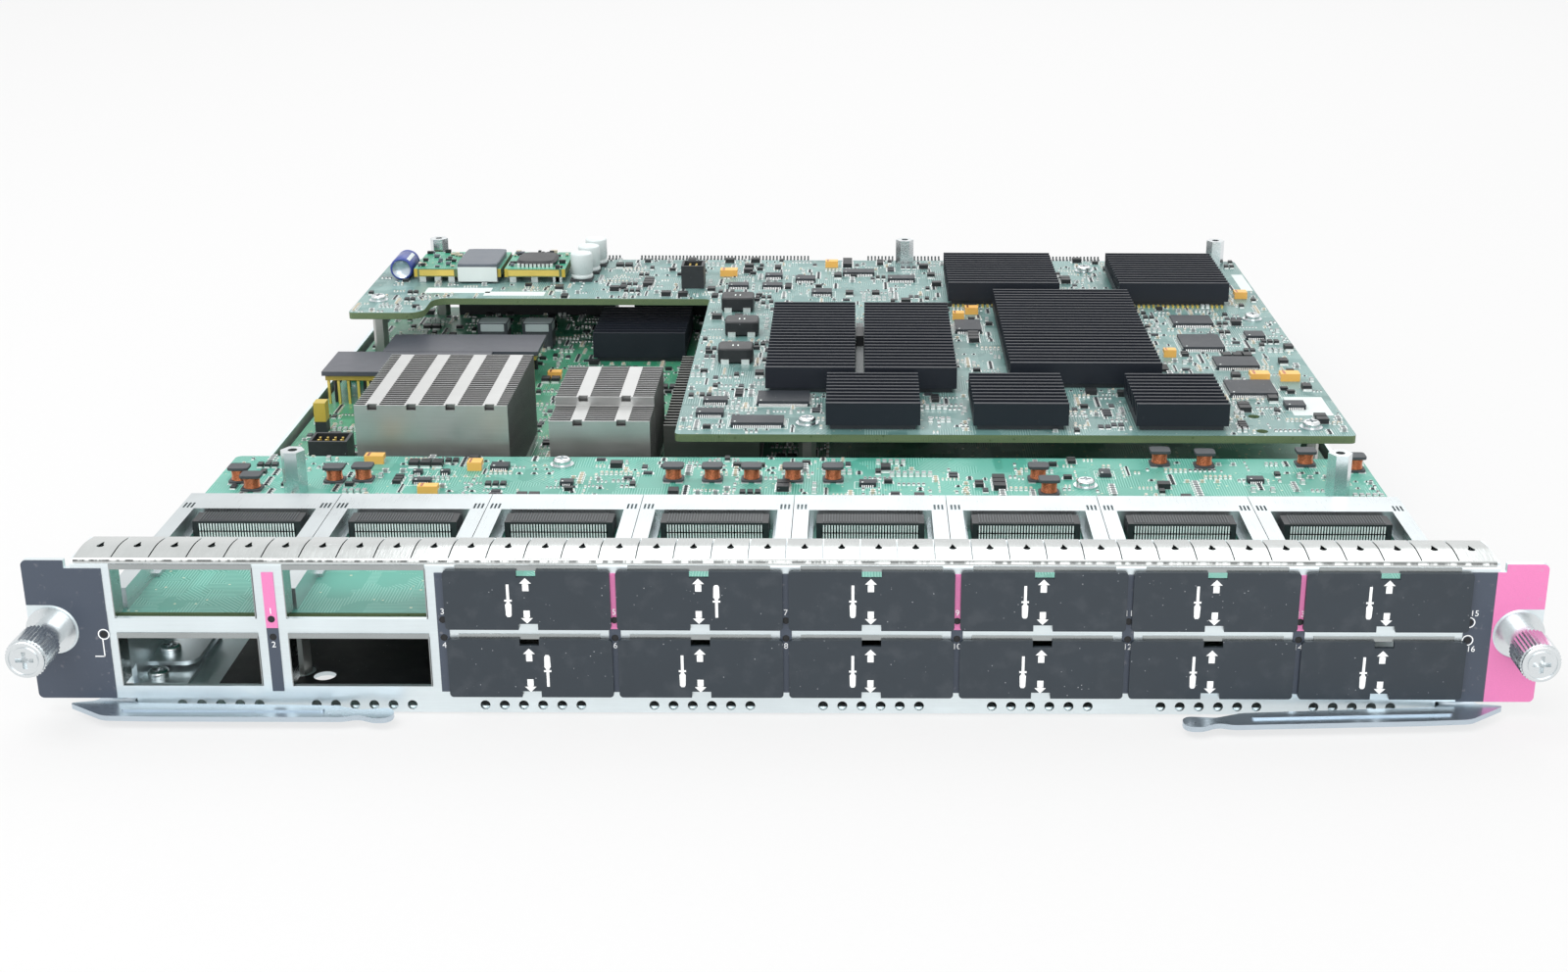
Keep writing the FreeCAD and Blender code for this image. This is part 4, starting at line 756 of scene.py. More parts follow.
    def build(self, body: str = CARD) -> bpy.types.Object:
        """Makes the object, at the origin, and lets it ride.

        Args:
            body: the body that it moves with.

        Returns:
            The new object.
        """
        points = np.concatenate(self.points) * MM
        faces = np.concatenate(self.faces)
        totals = np.where(faces[:, 3] == faces[:, 0], 3, 4)
        keep = np.arange(4)[None, :] < totals[:, None]
        mesh = bpy.data.meshes.new(self.name)
        mesh.vertices.add(len(points))
        mesh.vertices.foreach_set("co", points.astype(np.float32).ravel())
        corners = faces[keep].astype(np.int32)
        mesh.loops.add(len(corners))
        mesh.loops.foreach_set("vertex_index", corners)
        mesh.polygons.add(len(faces))
        starts = np.concatenate([[0], np.cumsum(totals)[:-1]]).astype(np.int32)
        mesh.polygons.foreach_set("loop_start", starts)
        mesh.polygons.foreach_set("loop_total", totals.astype(np.int32))
        for finish in self.finishes:
            mesh.materials.append(finish.make())
        mesh.polygons.foreach_set("material_index", np.concatenate(self.slots).astype(np.int32))
        mesh.polygons.foreach_set("use_smooth", np.concatenate(self.smooth))
        mesh.update(calc_edges=True)
        mesh.validate()
        piece = bpy.data.objects.new(self.name, mesh)
        bpy.context.collection.objects.link(piece)
        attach(piece, body)
        LOG.info("%s: %d faces on %s", self.name, len(faces), body)
        return piece


@dataclass
class Card:
    """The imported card: its nodes, and what is free on its boards."""

    frame: dict
    trees: dict[str, BVHTree] = field(default_factory=dict)

    def mesh_arrays(self, node: str) -> tuple[np.ndarray, np.ndarray]:
        """A node's points in millimetres and its triangles."""
        mesh = self.frame["nodes"][node].data
        mesh.calc_loop_triangles()
        points = np.empty(len(mesh.vertices) * 3)
        mesh.vertices.foreach_get("co", points)
        corners = np.empty(len(mesh.loop_triangles) * 3, np.int32)
        mesh.loop_triangles.foreach_get("vertices", corners)
        return points.reshape(-1, 3) / MM, corners.reshape(-1, 3)

    def solids(self, node: str) -> np.ndarray:
        """The box of each separate solid of a node.

        Each point takes the lowest label among its triangles' corners until none changes.

        Args:
            node: the node's name.

        Returns:
            Each solid's lowest and highest corner, sorted by X and Y.
        """
        points, corners = self.mesh_arrays(node)
        _, merged = np.unique(np.round(points, 3), axis=0, return_inverse=True)
        triangles = merged.reshape(-1)[corners]
        labels = np.arange(merged.max() + 1)
        while True:
            lowest = labels[triangles].min(axis=1)
            fresh = labels.copy()
            for corner in range(3):
                np.minimum.at(fresh, triangles[:, corner], lowest)
            fresh = fresh[fresh]
            if np.array_equal(fresh, labels):
                break
            labels = fresh
        owner = labels[merged.reshape(-1)]
        boxes = [(points[owner == one].min(axis=0), points[owner == one].max(axis=0))
                 for one in np.unique(owner)]
        return np.array(sorted(boxes, key=lambda box: (round(box[0][0]), round(box[0][1]))))

    def tree(self, *nodes: str) -> BVHTree:
        """A search tree over some nodes' triangles, in millimetres."""
        key = " ".join(nodes)
        if key not in self.trees:
            points, corners, count = [], [], 0
            for node in nodes:
                here, triangles = self.mesh_arrays(node)
                points.append(here)
                corners.append(triangles + count)
                count += len(here)
            points, corners = np.concatenate(points).tolist(), np.concatenate(corners).tolist()
            self.trees[key] = BVHTree.FromPolygons(points, corners)
        return self.trees[key]

    def dress(self) -> None:
        """Gives every node its finish."""
        for name, node in self.frame["nodes"].items():
            finish = NODE_FINISHES.get(name)
            if finish is None:
                finish = COVER if "cover" in name else BLACK_SINK
            node.data.materials.clear()
            node.data.materials.append(finish.make())
        LOG.info("dressed %d nodes", len(self.frame["nodes"]))


# ---- What is printed and stuck on the face ----

class Mark(Enum):
    """What a cover's pictogram shows."""

    HANDLE_UP = 1
    HANDLE_DOWN = -1


@dataclass
class CoverMarks:
    """White arrows and a screwdriver pictogram on each cover."""

    arrow_width: float = 3.0
    arrow_length: float = 3.6
    neck_width: float = 1.6
    arrow_offset: float = 4.5
    tool_offset: float = 4.6
    tool_length: float = 9.0
    bottom_drop: float = 0.6
    ink: float = 0.04
    sunk: float = 0.02

    def arrow(self, x: float, z: float, up: int) -> np.ndarray:
        """An arrow's outline about a point, pointing up for 1 and down for -1."""
        wide, neck, half = self.arrow_width / 2, self.neck_width / 2, self.arrow_length / 2
        chin = half - self.arrow_length * 0.42
        shaft = [[-neck, -half], [neck, -half], [neck, chin]]
        head = [[wide, chin], [0, half], [-wide, chin], [-neck, chin]]
        outline = np.array(shaft + head) * np.array([1, up])
        return (outline if up > 0 else outline[::-1]) + np.array([x, z])

    def screwdriver(self, x: float, z: float, mark: Mark) -> list[np.ndarray]:
        """A screwdriver's handle, collar and blade as outlines about a point.

        Each span gives half the width at its lower and its upper end, then the two heights.
        """
        half = self.tool_length / 2
        parts = []
        spans = ((0.82, 0.72, 1.0, half - 0.5), (0.72, 0.4, half - 0.5, half), (0.4, 0.72, 0.5, 1.0),
                 (0.4, 0.4, 0.2, 0.5), (0.95, 0.95, -0.3, 0.2), (0.36, 0.36, -half, -0.3))
        for wide, above, low, high in spans:
            outline = np.array([[-wide, low], [wide, low], [above, high], [-above, high]])
            outline = outline * np.array([1, mark.value])
            parts.append((outline if mark.value > 0 else outline[::-1]) + np.array([x, z]))
        return parts

    def build(self) -> None:
        """Prints every cover; two of the covers carry the pictogram on the other side of the arrows."""
        for row in ("top", "bottom"):
            for column in range(OPEN_BAYS + 1, BAY_COUNT + 1):
                low, high = box_of(f"{row}_cover_{column}")
                x, z = (low[0] + high[0]) / 2 - 0.2, (low[2] + high[2]) / 2
                drop = 0.0 if row == "top" else -self.bottom_drop
                right = (row, column) in (("top", 4), ("bottom", 3))
                mark = Mark.HANDLE_UP if right else Mark.HANDLE_DOWN
                side = self.tool_offset if right else -self.tool_offset
                outlines = [self.arrow(x, z + self.arrow_offset + drop, 1),
                            self.arrow(x, z - self.arrow_offset + drop * 0.5, -1)]
                shell = Shell(f"{row}_cover_{column}_print", INK)
                for outline in outlines + self.screwdriver(x + side, z + drop, mark):
                    shell.prism(outline, low[1] - self.ink, low[1] + self.sunk)
                shell.build(f"{row}_cover_{column}_body")


@dataclass
class FacePrint:
    """Port numbers, light rings and the leader line printed on the labels."""

    number_height: float = 1.7
    label_front: float = -0.25
    ink: float = 0.03
    light_offset: float = 2.5
    number_offset: float = 4.7
    ear_light_x: float = 175.5
    ring_radius: float = 1.5
    ring_line: float = 0.3
    ring_steps: int = 40
    ear_number_shift: tuple[float, float] = (1.1, 0.3)
    leader_height: float = 4.9
    leader_foot: float = 2.6

    def number(self, text: str, x: float, z: float) -> None:
        """A port number as a flat mesh standing on the label's front.

        Args:
            text: the number.
            x: its middle along the face.
            z: its middle's height.
        """
        curve = bpy.data.curves.new(f"number_{text}", "FONT")
        curve.body = text
        curve.size = self.number_height * MM * 1.35
        curve.align_x = "CENTER"
        curve.align_y = "CENTER"
        curve.extrude = self.ink * MM
        made = bpy.data.objects.new(curve.name, curve)
        bpy.context.collection.objects.link(made)
        graph = bpy.context.evaluated_depsgraph_get()
        mesh = bpy.data.meshes.new_from_object(made.evaluated_get(graph))
        bpy.data.objects.remove(made)
        points = np.empty(len(mesh.vertices) * 3)
        mesh.vertices.foreach_get("co", points)
        points = points.reshape(-1, 3)
        placed = lined(points[:, 0] + x * MM, self.label_front * MM - points[:, 2], points[:, 1] + z * MM)
        mesh.vertices.foreach_set("co", placed.astype(np.float32).ravel())
        mesh.materials.clear()
        mesh.materials.append(INK.make())
        piece = bpy.data.objects.new(f"port_number_{text}", mesh)
        bpy.context.collection.objects.link(piece)
        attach(piece, CARD)

    def ring(self, shell: Shell, x: float, z: float) -> None:
        """A thin printed ring: an annulus whose radius steps out, forward, and in again."""
        outer, inner = self.ring_radius, self.ring_radius - self.ring_line
        front, back = self.label_front - self.ink, self.label_front + 0.01
        angle = np.linspace(0, 2 * math.pi, self.ring_steps, endpoint=False)
        rows = [(inner, back), (inner, front), (outer, front), (outer, back)]
        points = np.stack([lined(x + radius * np.cos(angle), y, z + radius * np.sin(angle))
                           for radius, y in rows])
        shell.grid(points, 0, True, True, False)

    def build(self) -> None:
        """Numbers beside each strip's lights, rings on the ear labels, and the left label's leader."""
        for seam in range(1, BAY_COUNT):
            x = (seam - BAY_COUNT / 2) * BAY_PITCH
            self.number(str(2 * seam - 1), x, MID_BAR + self.number_offset)
            self.number(str(2 * seam), x, MID_BAR - self.number_offset)
        ear_x, ear_offset = np.array(self.ear_number_shift) + [self.ear_light_x, self.number_offset]
        self.number(str(2 * BAY_COUNT - 1), ear_x, MID_BAR + ear_offset)
        self.number(str(2 * BAY_COUNT), ear_x, MID_BAR - ear_offset)
        shell = Shell("light_rings", INK)
        for z in (MID_BAR + self.light_offset, MID_BAR - self.light_offset):
            self.ring(shell, self.ear_light_x, z)
        left = -self.ear_light_x
        low = MID_BAR - self.light_offset + 0.6
        self.ring(shell, left, low)
        front = self.label_front - self.ink / 2
        shell.boxes([left - 0.4, front, low - 3.9], [self.ring_line, self.ink, self.leader_height])
        shell.boxes([left - 1.6, front, low - 6.2], [self.leader_foot, self.ink, self.ring_line])
        shell.build()


# ---- Soldered parts ----

@dataclass(frozen=True)
class Chip:
    """One kind of small part: its size, its finish's slot and how often it turns up."""

    length: float
    width: float
    height: float
    slot: int
    odds: float


CHIPS = (
    Chip(1.0, 0.5, 0.45, 1, 0.1), Chip(1.6, 0.8, 0.75, 1, 0.1), Chip(1.6, 0.8, 0.4, 2, 0.22),
    Chip(2.0, 1.25, 1.1, 4, 0.07), Chip(1.0, 0.5, 0.35, 2, 0.16), Chip(3.2, 1.6, 0.6, 2, 0.07),
    Chip(3.0, 1.6, 1.1, 3, 0.14), Chip(4.4, 3.0, 1.7, 3, 0.07), Chip(1.6, 0.8, 0.8, 4, 0.07),
)


@dataclass
class ChipField:
    """Small surface-mounted parts, set in short even rows wherever a board's top is free."""

    name: str
    board: str
    around_nodes: tuple[str, ...]
    span: tuple[float, float, float, float]
    rows: int
    seed: int
    clear_height: float = 14.0
    kept_clear: tuple[tuple[float, float, float, float], ...] = ()
    cell: float = 0.5
    gap: float = 0.7
    pad_reach: float = 0.35
    margin: float = 0.35
    longest_row: int = 8
    longest_large_row: int = 4
    large: float = 2.1
    two_ended: float = 2.6

    def free(self, trees: tuple[BVHTree, BVHTree], spot: tuple[float, float, float],
             half: tuple[float, float]) -> bool:
        """Whether a rectangle lies on the board with nothing above it.

        Args:
            trees: what stands round about, and the board.
            spot: the rectangle's middle.
            half: half its width and depth.
        """
        around, board = trees
        for across in (-1, 0, 1):
            for back in (-1, 0, 1):
                x, y = spot[0] + across * (half[0] + self.margin), spot[1] + back * (half[1] + self.margin)
                start = Vector((x, y, spot[2] + 0.06))
                if board.ray_cast(start, Vector((0, 0, -1)), 0.2)[0] is None:
                    return False
                if around.ray_cast(start, Vector((0, 0, 1)), self.clear_height)[0] is not None:
                    return False
        return True

    def cells(self, x: float, y: float, half: tuple[float, float], room: int = 0) -> tuple[slice, slice]:
        """The grid cells that a rectangle covers, with some room round it."""
        left, _, front, _ = self.span
        ends = [(int((x - half[0] - left) / self.cell), int((x + half[0] - left) / self.cell)),
                (int((y - half[1] - front) / self.cell), int((y + half[1] - front) / self.cell))]
        return tuple(slice(low - room, high + max(room, 1)) for low, high in ends)

    def build(self, card: Card) -> None:
        """Draws the rows, keeps what is free, and makes bodies, tinned ends and pads as boxes."""
        random = np.random.default_rng(self.seed)
        trees = (card.tree(*self.around_nodes), card.tree(self.board))
        top = top_of(self.board)
        left, right, front, back = self.span
        taken = np.zeros((int((right - left) / self.cell) + 8, int((back - front) / self.cell) + 8), bool)
        for x, y, width, depth in self.kept_clear:
            taken[self.cells(x, y, (width / 2, depth / 2), 2)] = True
        odds = np.array([chip.odds for chip in CHIPS])
        placed = []
        for _ in range(self.rows):
            chip = CHIPS[int(random.choice(len(CHIPS), p=odds / odds.sum()))]
            turned = bool(random.random() < 0.5)
            longest = self.longest_row if chip.length < self.large else self.longest_large_row
            count = int(random.integers(1, longest))
            sizes = (chip.width, chip.length) if turned else (chip.length, chip.width)
            beside = bool(random.random() < 0.75) == turned
            step = (sizes[0] + self.gap, 0.0) if beside else (0.0, sizes[1] + self.gap)
            reach = (0.0, self.pad_reach) if turned else (self.pad_reach, 0.0)
            half = (sizes[0] / 2 + reach[0], sizes[1] / 2 + reach[1])
            x, y = random.uniform(left, right), random.uniform(front, back)
            for _ in range(count):
                x, y = x + step[0], y + step[1]
                if not (left < x < right and front < y < back):
                    break
                cells = self.cells(x, y, half)
                if taken[cells].any() or not self.free(trees, (x, y, top), half):
                    continue
                taken[cells] = True
                placed.append((x, y, chip.length, chip.width, chip.height, chip.slot, turned))
        self.solder(np.array(placed), top)

    def solder(self, parts: np.ndarray, top: float) -> None:
        """Makes the boxes of every placed part at once.

        Args:
            parts: middle X and Y, length, width, height, slot and whether it is turned, per part.
            top: the height of the board's top.
        """
        x, y, length, width, height, slot, turned = parts.T

        def sized(long: object, wide: object, tall: object) -> np.ndarray:
            """Sizes with the long side along X, or along Y where the part is turned."""
            return lined(np.where(turned > 0, wide, long), np.where(turned > 0, long, wide), tall)

        shell = Shell(self.name, TIN, CERAMIC, PACKAGE, BLACK, GREY_CERAMIC)
        pad, lift = 0.05, 0.02
        shell.boxes(lined(x, y, top + pad / 2), sized(length + 0.6, width + 0.15, pad), 0)
        ended = length < self.two_ended
        ends = np.where(ended, height, height * 0.4)
        shell.boxes(lined(x, y, top + lift + ends / 2), sized(length, width * 0.98, ends), 0)
        body, tall = np.where(ended, 0.6, 0.86), height * 1.03
        shell.boxes(lined(x, y, top + lift + tall / 2 + lift), sized(length * body, width * 1.02, tall),
                    slot.astype(int))
        shell.build()


@dataclass
class PackageLeads:
    """Bent leads on the packages that stand free, a printed dot, and an outline on the board."""

    cover_nodes: tuple[str, ...] = ()
    pitch: float = 0.65
    lead_width: float = 0.28
    lead_thickness: float = 0.14
    reach: float = 0.9
    tallest: float = 5.0
    four_sided: float = 6.5
    large: float = 12.0
    dot_radius: float = 0.34
    dot_inset: float = 1.3
    ink: float = 0.03
    line: float = 0.18

    def gull(self, height: float) -> np.ndarray:
        """A lead's centre line as (out, up) pairs: out of the body, down, and flat on its pad."""
        out, foot = self.reach, 0.12
        return np.array([[-0.1, height], [out * 0.35, height], [out * 0.55, foot], [out, foot]])

    def row(self, shell: Shell, start: np.ndarray, along: np.ndarray, out: np.ndarray, count: int,
            height: float) -> None:
        """A row of leads: the centre line thickened, widened, and repeated along the side.

        A point is start + along * (index * pitch + side) + out * run + up * (rise + thickness).

        Args:
            shell: what takes the leads.
            start: the first lead's root, on the board.
            along: the way the row runs.
            out: the way the leads point.
            count: how many there are.
            height: how high they leave the body.
        """
        line = self.gull(height)
        thick = self.lead_thickness
        section = np.array([[-1, 0], [1, 0], [1, 1], [-1, 1]]) * [self.lead_width / 2, thick]
        slide = np.arange(count)[:, None, None] * self.pitch + section[:, 0]
        rise = line[:, 1, None] + section[:, 1] - thick
        steps = lined(slide, line[:, 0, None], rise)
        points = start + steps @ np.array([along, out, [0, 0, 1]])
        faces = np.concatenate([ring_quads(4, 4), [[12, 13, 14, 15], [3, 2, 1, 0]]])
        if np.dot(np.cross(along, out), [0, 0, 1]) > 0:
            faces = faces[:, ::-1]
        first_points = 16 * np.arange(count)[:, None, None]
        shell.add(points, (faces + first_points).reshape(-1, 4), 0)

    def sides(self, shell: Shell, low: np.ndarray, high: np.ndarray, axis: int) -> None:
        """The two rows of leads that run along one axis of a package."""
        size, middle = high - low, (low + high) / 2
        other = 1 - axis
        count = int((size[axis] - 0.8) // self.pitch)
        for sign in (-1, 1):
            start = np.array([middle[0], middle[1], low[2]])
            start[axis] -= (count - 1) * self.pitch / 2
            start[other] = middle[other] + sign * size[other] / 2
            along, out = np.zeros(3), np.zeros(3)
            along[axis], out[other] = 1.0, sign
            self.row(shell, start, along, out, count, size[2] * 0.5)

    def outline(self, shell: Shell, low: np.ndarray, high: np.ndarray, grow: float) -> None:
        """A printed rectangle on the board, outside a package's leads."""
        (left, front), (right, back) = low[:2] - grow, high[:2] + grow
        across, along, z = (left + right) / 2, (front + back) / 2, low[2] + self.ink / 2
        centres = [[left, along, z], [right, along, z], [across, front, z], [across, back, z]]
        upright, level = [self.line, back - front, self.ink], [right - left, self.line, self.ink]
        shell.boxes(centres, [upright, upright, level, level], 1)

    def build(self, card: Card) -> None:
        """Leads on two or four sides of every package that no heat sink covers."""
        tree = card.tree(*self.cover_nodes)
        shell = Shell("package_leads", TIN, SILK)
        profile = np.array([[0, 0], [self.dot_radius, 0], [self.dot_radius, self.ink], [0, self.ink]])
        for low, high in card.solids("ic_packages"):
            size, middle = high - low, (low + high) / 2
            above = Vector((middle[0], middle[1], high[2] + 0.1))
            if size[2] > self.tallest or tree.ray_cast(above, Vector((0, 0, 1)), 16.0)[0] is not None:
                continue
            square = min(size[0], size[1]) > self.four_sided
            for axis in (0, 1):
                if square or (axis == 0) == (size[0] >= size[1]):
                    self.sides(shell, low, high, axis)
            dot = low[:2] + np.minimum(self.dot_inset, size[:2] * 0.2)
            shell.turned((dot[0], dot[1], high[2]), profile, 1, 2, 16, False)
            self.outline(shell, low, high, self.reach + (0.35 if square and size[0] > self.large else 0.45))
        shell.build()


@dataclass
class Coils:
    """Drum coils with copper windings, and black pressed chokes, in place of their CAD node."""

    turns: int = 9
    wire_swell: float = 0.12
    plate: float = 0.95
    widest_drum: float = 9.0
    lead_inset: float = 2.6
    lead_size: tuple[float, float, float] = (2.8, 0.5, 1.8)
    mark_offset: float = 0.9
    mark_size: tuple[float, float, float] = (0.5, 1.6, 0.03)

    def drum(self, shell: Shell, low: np.ndarray, high: np.ndarray) -> None:
        """Two thin plates and, between them, a stack of wire turns as a rippled waist.

        The waist's radius is 0.74 of the plate's, drawn in by up to a tenth at mid height, plus a
        swell times 1 minus the cosine of a phase that goes once round for each turn of wire.
        """
        middle, half = (low + high) / 2, (high - low) / 2
        shell.rounded([low[0], low[1], low[2] + 0.2], [high[0], high[1], low[2] + self.plate], 0, 0.12, 7)
        shell.rounded([low[0], low[1], high[2] - self.plate], high, 0, 0.12, 7)
        rise = np.linspace(low[2] + self.plate, high[2] - self.plate, self.turns * 6 + 1)
        phase = np.linspace(0, self.turns * 2 * math.pi, len(rise))
        waist = 1 - 0.1 * np.sin(np.linspace(0, math.pi, len(rise)))
        radius = half[0] * 0.74 * waist + self.wire_swell * (1 - np.cos(phase))
        shell.turned((middle[0], middle[1], 0), np.stack([radius, rise], axis=-1), 1, 2, 28)
        feet = lined(middle[0] + half[0] * np.array([-0.62, 0.62]), middle[1], low[2] + 0.1)
        shell.boxes(feet, [half[0] * 0.7, 2 * half[1] + 1.2, 0.2], 2)

    def choke(self, shell: Shell, low: np.ndarray, high: np.ndarray) -> None:
        """A square pressed choke with wide tinned leads in front and a printed mark on top."""
        middle = (low + high) / 2
        shell.rounded([low[0], low[1] + 0.6, low[2] + 0.3], high, 3, 0.45, 12)
        for x in (low[0] + self.lead_inset, high[0] - self.lead_inset):
            shell.boxes(lined(x, [low[1] + 0.4, high[1] + 0.2], low[2] + 0.9), self.lead_size, 2)
        marks = lined(middle[0] + np.array([-1, 1]) * self.mark_offset, middle[1], high[2] + 0.01)
        shell.boxes(marks, self.mark_size, 4)

    def build(self, card: Card) -> None:
        """All coils and chokes as one piece."""
        shell = Shell("coils_and_chokes", FERRITE, COPPER, TIN, BLACK, SILK)
        for low, high in card.solids("inductors"):
            make = self.drum if high[0] - low[0] < self.widest_drum else self.choke
            make(shell, low, high)
        piece = shell.build()
        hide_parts("inductors")


@dataclass
class Cans:
    """Electrolytic and polymer cans with a crimp, a moulded foot and a printed band."""

    foot: float = 0.9
    steps: int = 40
    band_turn: float = 38.0
    band_half: float = 0.16

    def upright(self, shell: Shell, low: np.ndarray, high: np.ndarray) -> None:
        """A can on a square foot: a turned profile with a crimp groove near its base."""
        middle, half = (low + high) / 2, (high - low) / 2
        wide, base, top = half[0], low[2] + self.foot, high[2]
        shell.boxes([middle[0], middle[1], low[2] + self.foot / 2], [2 * wide, 2 * half[1], self.foot], 1)
        shell.boxes([middle[0], middle[1] - half[1] - 0.2, low[2] + 0.15], [1.2, 0.8, 0.2], 4)
        start = [[0, base], [wide - 0.3, base], [wide, base + 0.4]]
        crimp = [[wide, base + 1.3], [wide - 0.45, base + 1.7], [wide - 0.45, base + 1.9], [wide, base + 2.3]]
        rim = [[wide, top - 0.6], [wide - 0.15, top - 0.2], [wide - 0.6, top]]
        lid = [[wide * 0.7, top], [wide * 0.66, top - 0.12], [0, top - 0.12]]
        profile = np.array(start + crimp + rim + lid)
        shell.turned((middle[0], middle[1], 0), profile, np.repeat([0, 2], [10, 2]), 2, self.steps)

    def lying(self, shell: Shell, low: np.ndarray, high: np.ndarray) -> None:
        """A sleeved can lying along Y, its vented end to the front and its rubber end behind."""
        middle, wide = (low + high) / 2, (high[0] - low[0]) / 2
        front, back = low[1], high[1]
        vent = [[0, front + 0.35], [wide * 0.78, front + 0.35], [wide * 0.8, front], [wide - 0.4, front]]
        crimp = [[wide, back - 2.6], [wide - 0.4, back - 2.2], [wide - 0.4, back - 1.8], [wide, back - 1.4]]
        rim = [[wide, back - 0.4], [wide - 0.4, back], [wide * 0.8, back]]
        plug = [[wide * 0.76, back - 0.3], [0, back - 0.3]]
        profile = np.array(vent + [[wide, front + 0.5]] + crimp + rim + plug)
        shell.turned((middle[0], 0, middle[2]), profile, np.repeat([5, 3, 1], [2, 9, 2]), 1, self.steps)
        span = np.linspace(-self.band_half, self.band_half, 7) + math.radians(self.band_turn)
        x, z = middle[0] + (wide + 0.03) * np.sin(span), middle[2] + (wide + 0.03) * np.cos(span)
        band = np.stack([lined(x, y, z) for y in (front + 1.0, back - 3.0)])
        shell.grid(band[:, ::-1], 0)

    def build(self, card: Card) -> None:
        """All cans as one piece."""
        shell = Shell("cans", WHITE_CAN, RUBBER, PAPER, BLUE_SLEEVE, TIN, NICKEL)
        for low, high in card.solids("capacitors"):
            size = high - low
            make = self.lying if size[1] > 1.2 * size[0] else self.upright
            make(shell, low, high)
        piece = shell.build()
        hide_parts("capacitors")


# ---- Contacts, pins and plated edges ----

@dataclass
class SocketContacts:
    """Contact rows in each module socket's mouth, ribs on its roof and tinned tails behind."""

    pitch: float = 0.8
    count: int = 34
    width: float = 0.36
    levels: tuple[float, float] = (0.25, 0.7)
    reach: float = 0.38
    rib_inset: float = 1.2
    tail_length: float = 1.4

    def build(self, card: Card) -> None:
        """Both rows of contacts for every socket, above and below the port board."""
        shell = Shell("socket_contacts", CONTACT, GREY_RIB)
        for node, sign in (("upper_port_sockets", 1), ("lower_port_sockets", -1)):
            for low, high in card.solids(node):
                middle, height = (low + high) / 2, high[2] - low[2]
                x = spread(middle[0], self.count, self.pitch)
                for level in self.levels:
                    mouth = lined(x, low[1] - 0.06, low[2] + height * level)
                    shell.boxes(mouth, [self.width, 0.16, height * self.reach], 0)
                board, roof = (low[2], high[2]) if sign > 0 else (high[2], low[2])
                ribs = lined(x, middle[1] - self.rib_inset / 2, roof + sign * 0.1)
                shell.boxes(ribs, [self.width * 0.7, high[1] - low[1] - 2 * self.rib_inset, 0.24], 1)
                tails = lined(x, high[1] + 0.6, board + sign * 0.09)
                shell.boxes(tails, [self.width, self.tail_length, 0.16], 0)
        shell.build()


@dataclass
class SinkFixings:
    """Solder pins and the clip that show round the heat sinks."""

    pin_pitch: float = 1.9
    pin_reach: float = 1.9
    pin_size: tuple[float, float, float] = (0.8, 2.0, 0.8)
    clip_setback: float = 28.0

    def build(self) -> None:
        """A gold pin fringe along the rear sinks, a strip and a clip between the centre ones."""
        shell = Shell("sink_fixings", GOLD, BLACK, GREY_CERAMIC)
        board = top_of("upper_board")
        for node in ("rear_heat_sink_left", "rear_heat_sink_right"):
            low, high = box_of(node)
            x = np.arange(low[0] + 2, high[0] - 2, self.pin_pitch)
            for y in (low[1] - self.pin_reach, high[1] + self.pin_reach):
                shell.boxes(lined(x, y, board + 0.4), self.pin_size, 0)
        low, high = box_of("centre_heat_sink_left")
        edge = box_of("centre_heat_sink_right")[0][0]
        middle, gap = (high[0] + edge) / 2, edge - high[0]
        strip, clip = [gap - 0.6, (high[1] - low[1]) * 0.94, 1.6], [gap - 0.4, 12.0, 4.0]
        shell.boxes([middle, (low[1] + high[1]) / 2, board + 0.9], strip, 2)
        shell.boxes([middle, high[1] - self.clip_setback, board + 3.6], clip, 1)
        shell.build()


@dataclass
class PinRows:
    """The comb of fine pins that stands along each rear connector."""

    pitch: float = 1.5
    setbacks_and_rises: tuple[tuple[float, float], ...] = ((5.0, 3.4), (7.5, 2.8))

    def build(self, card: Card) -> None:
        """Thin upright pins on top of each connector, in two rows."""
        shell = Shell("connector_combs", COMB)
        for low, high in card.solids("backplane_connectors"):
            x = np.arange(low[0] + 0.8, high[0] - 0.5, self.pitch)
            for setback, rise in self.setbacks_and_rises:
                shell.boxes(lined(x, high[1] - setback, high[2] + rise / 2), [0.7, 0.6, rise])
        shell.build()


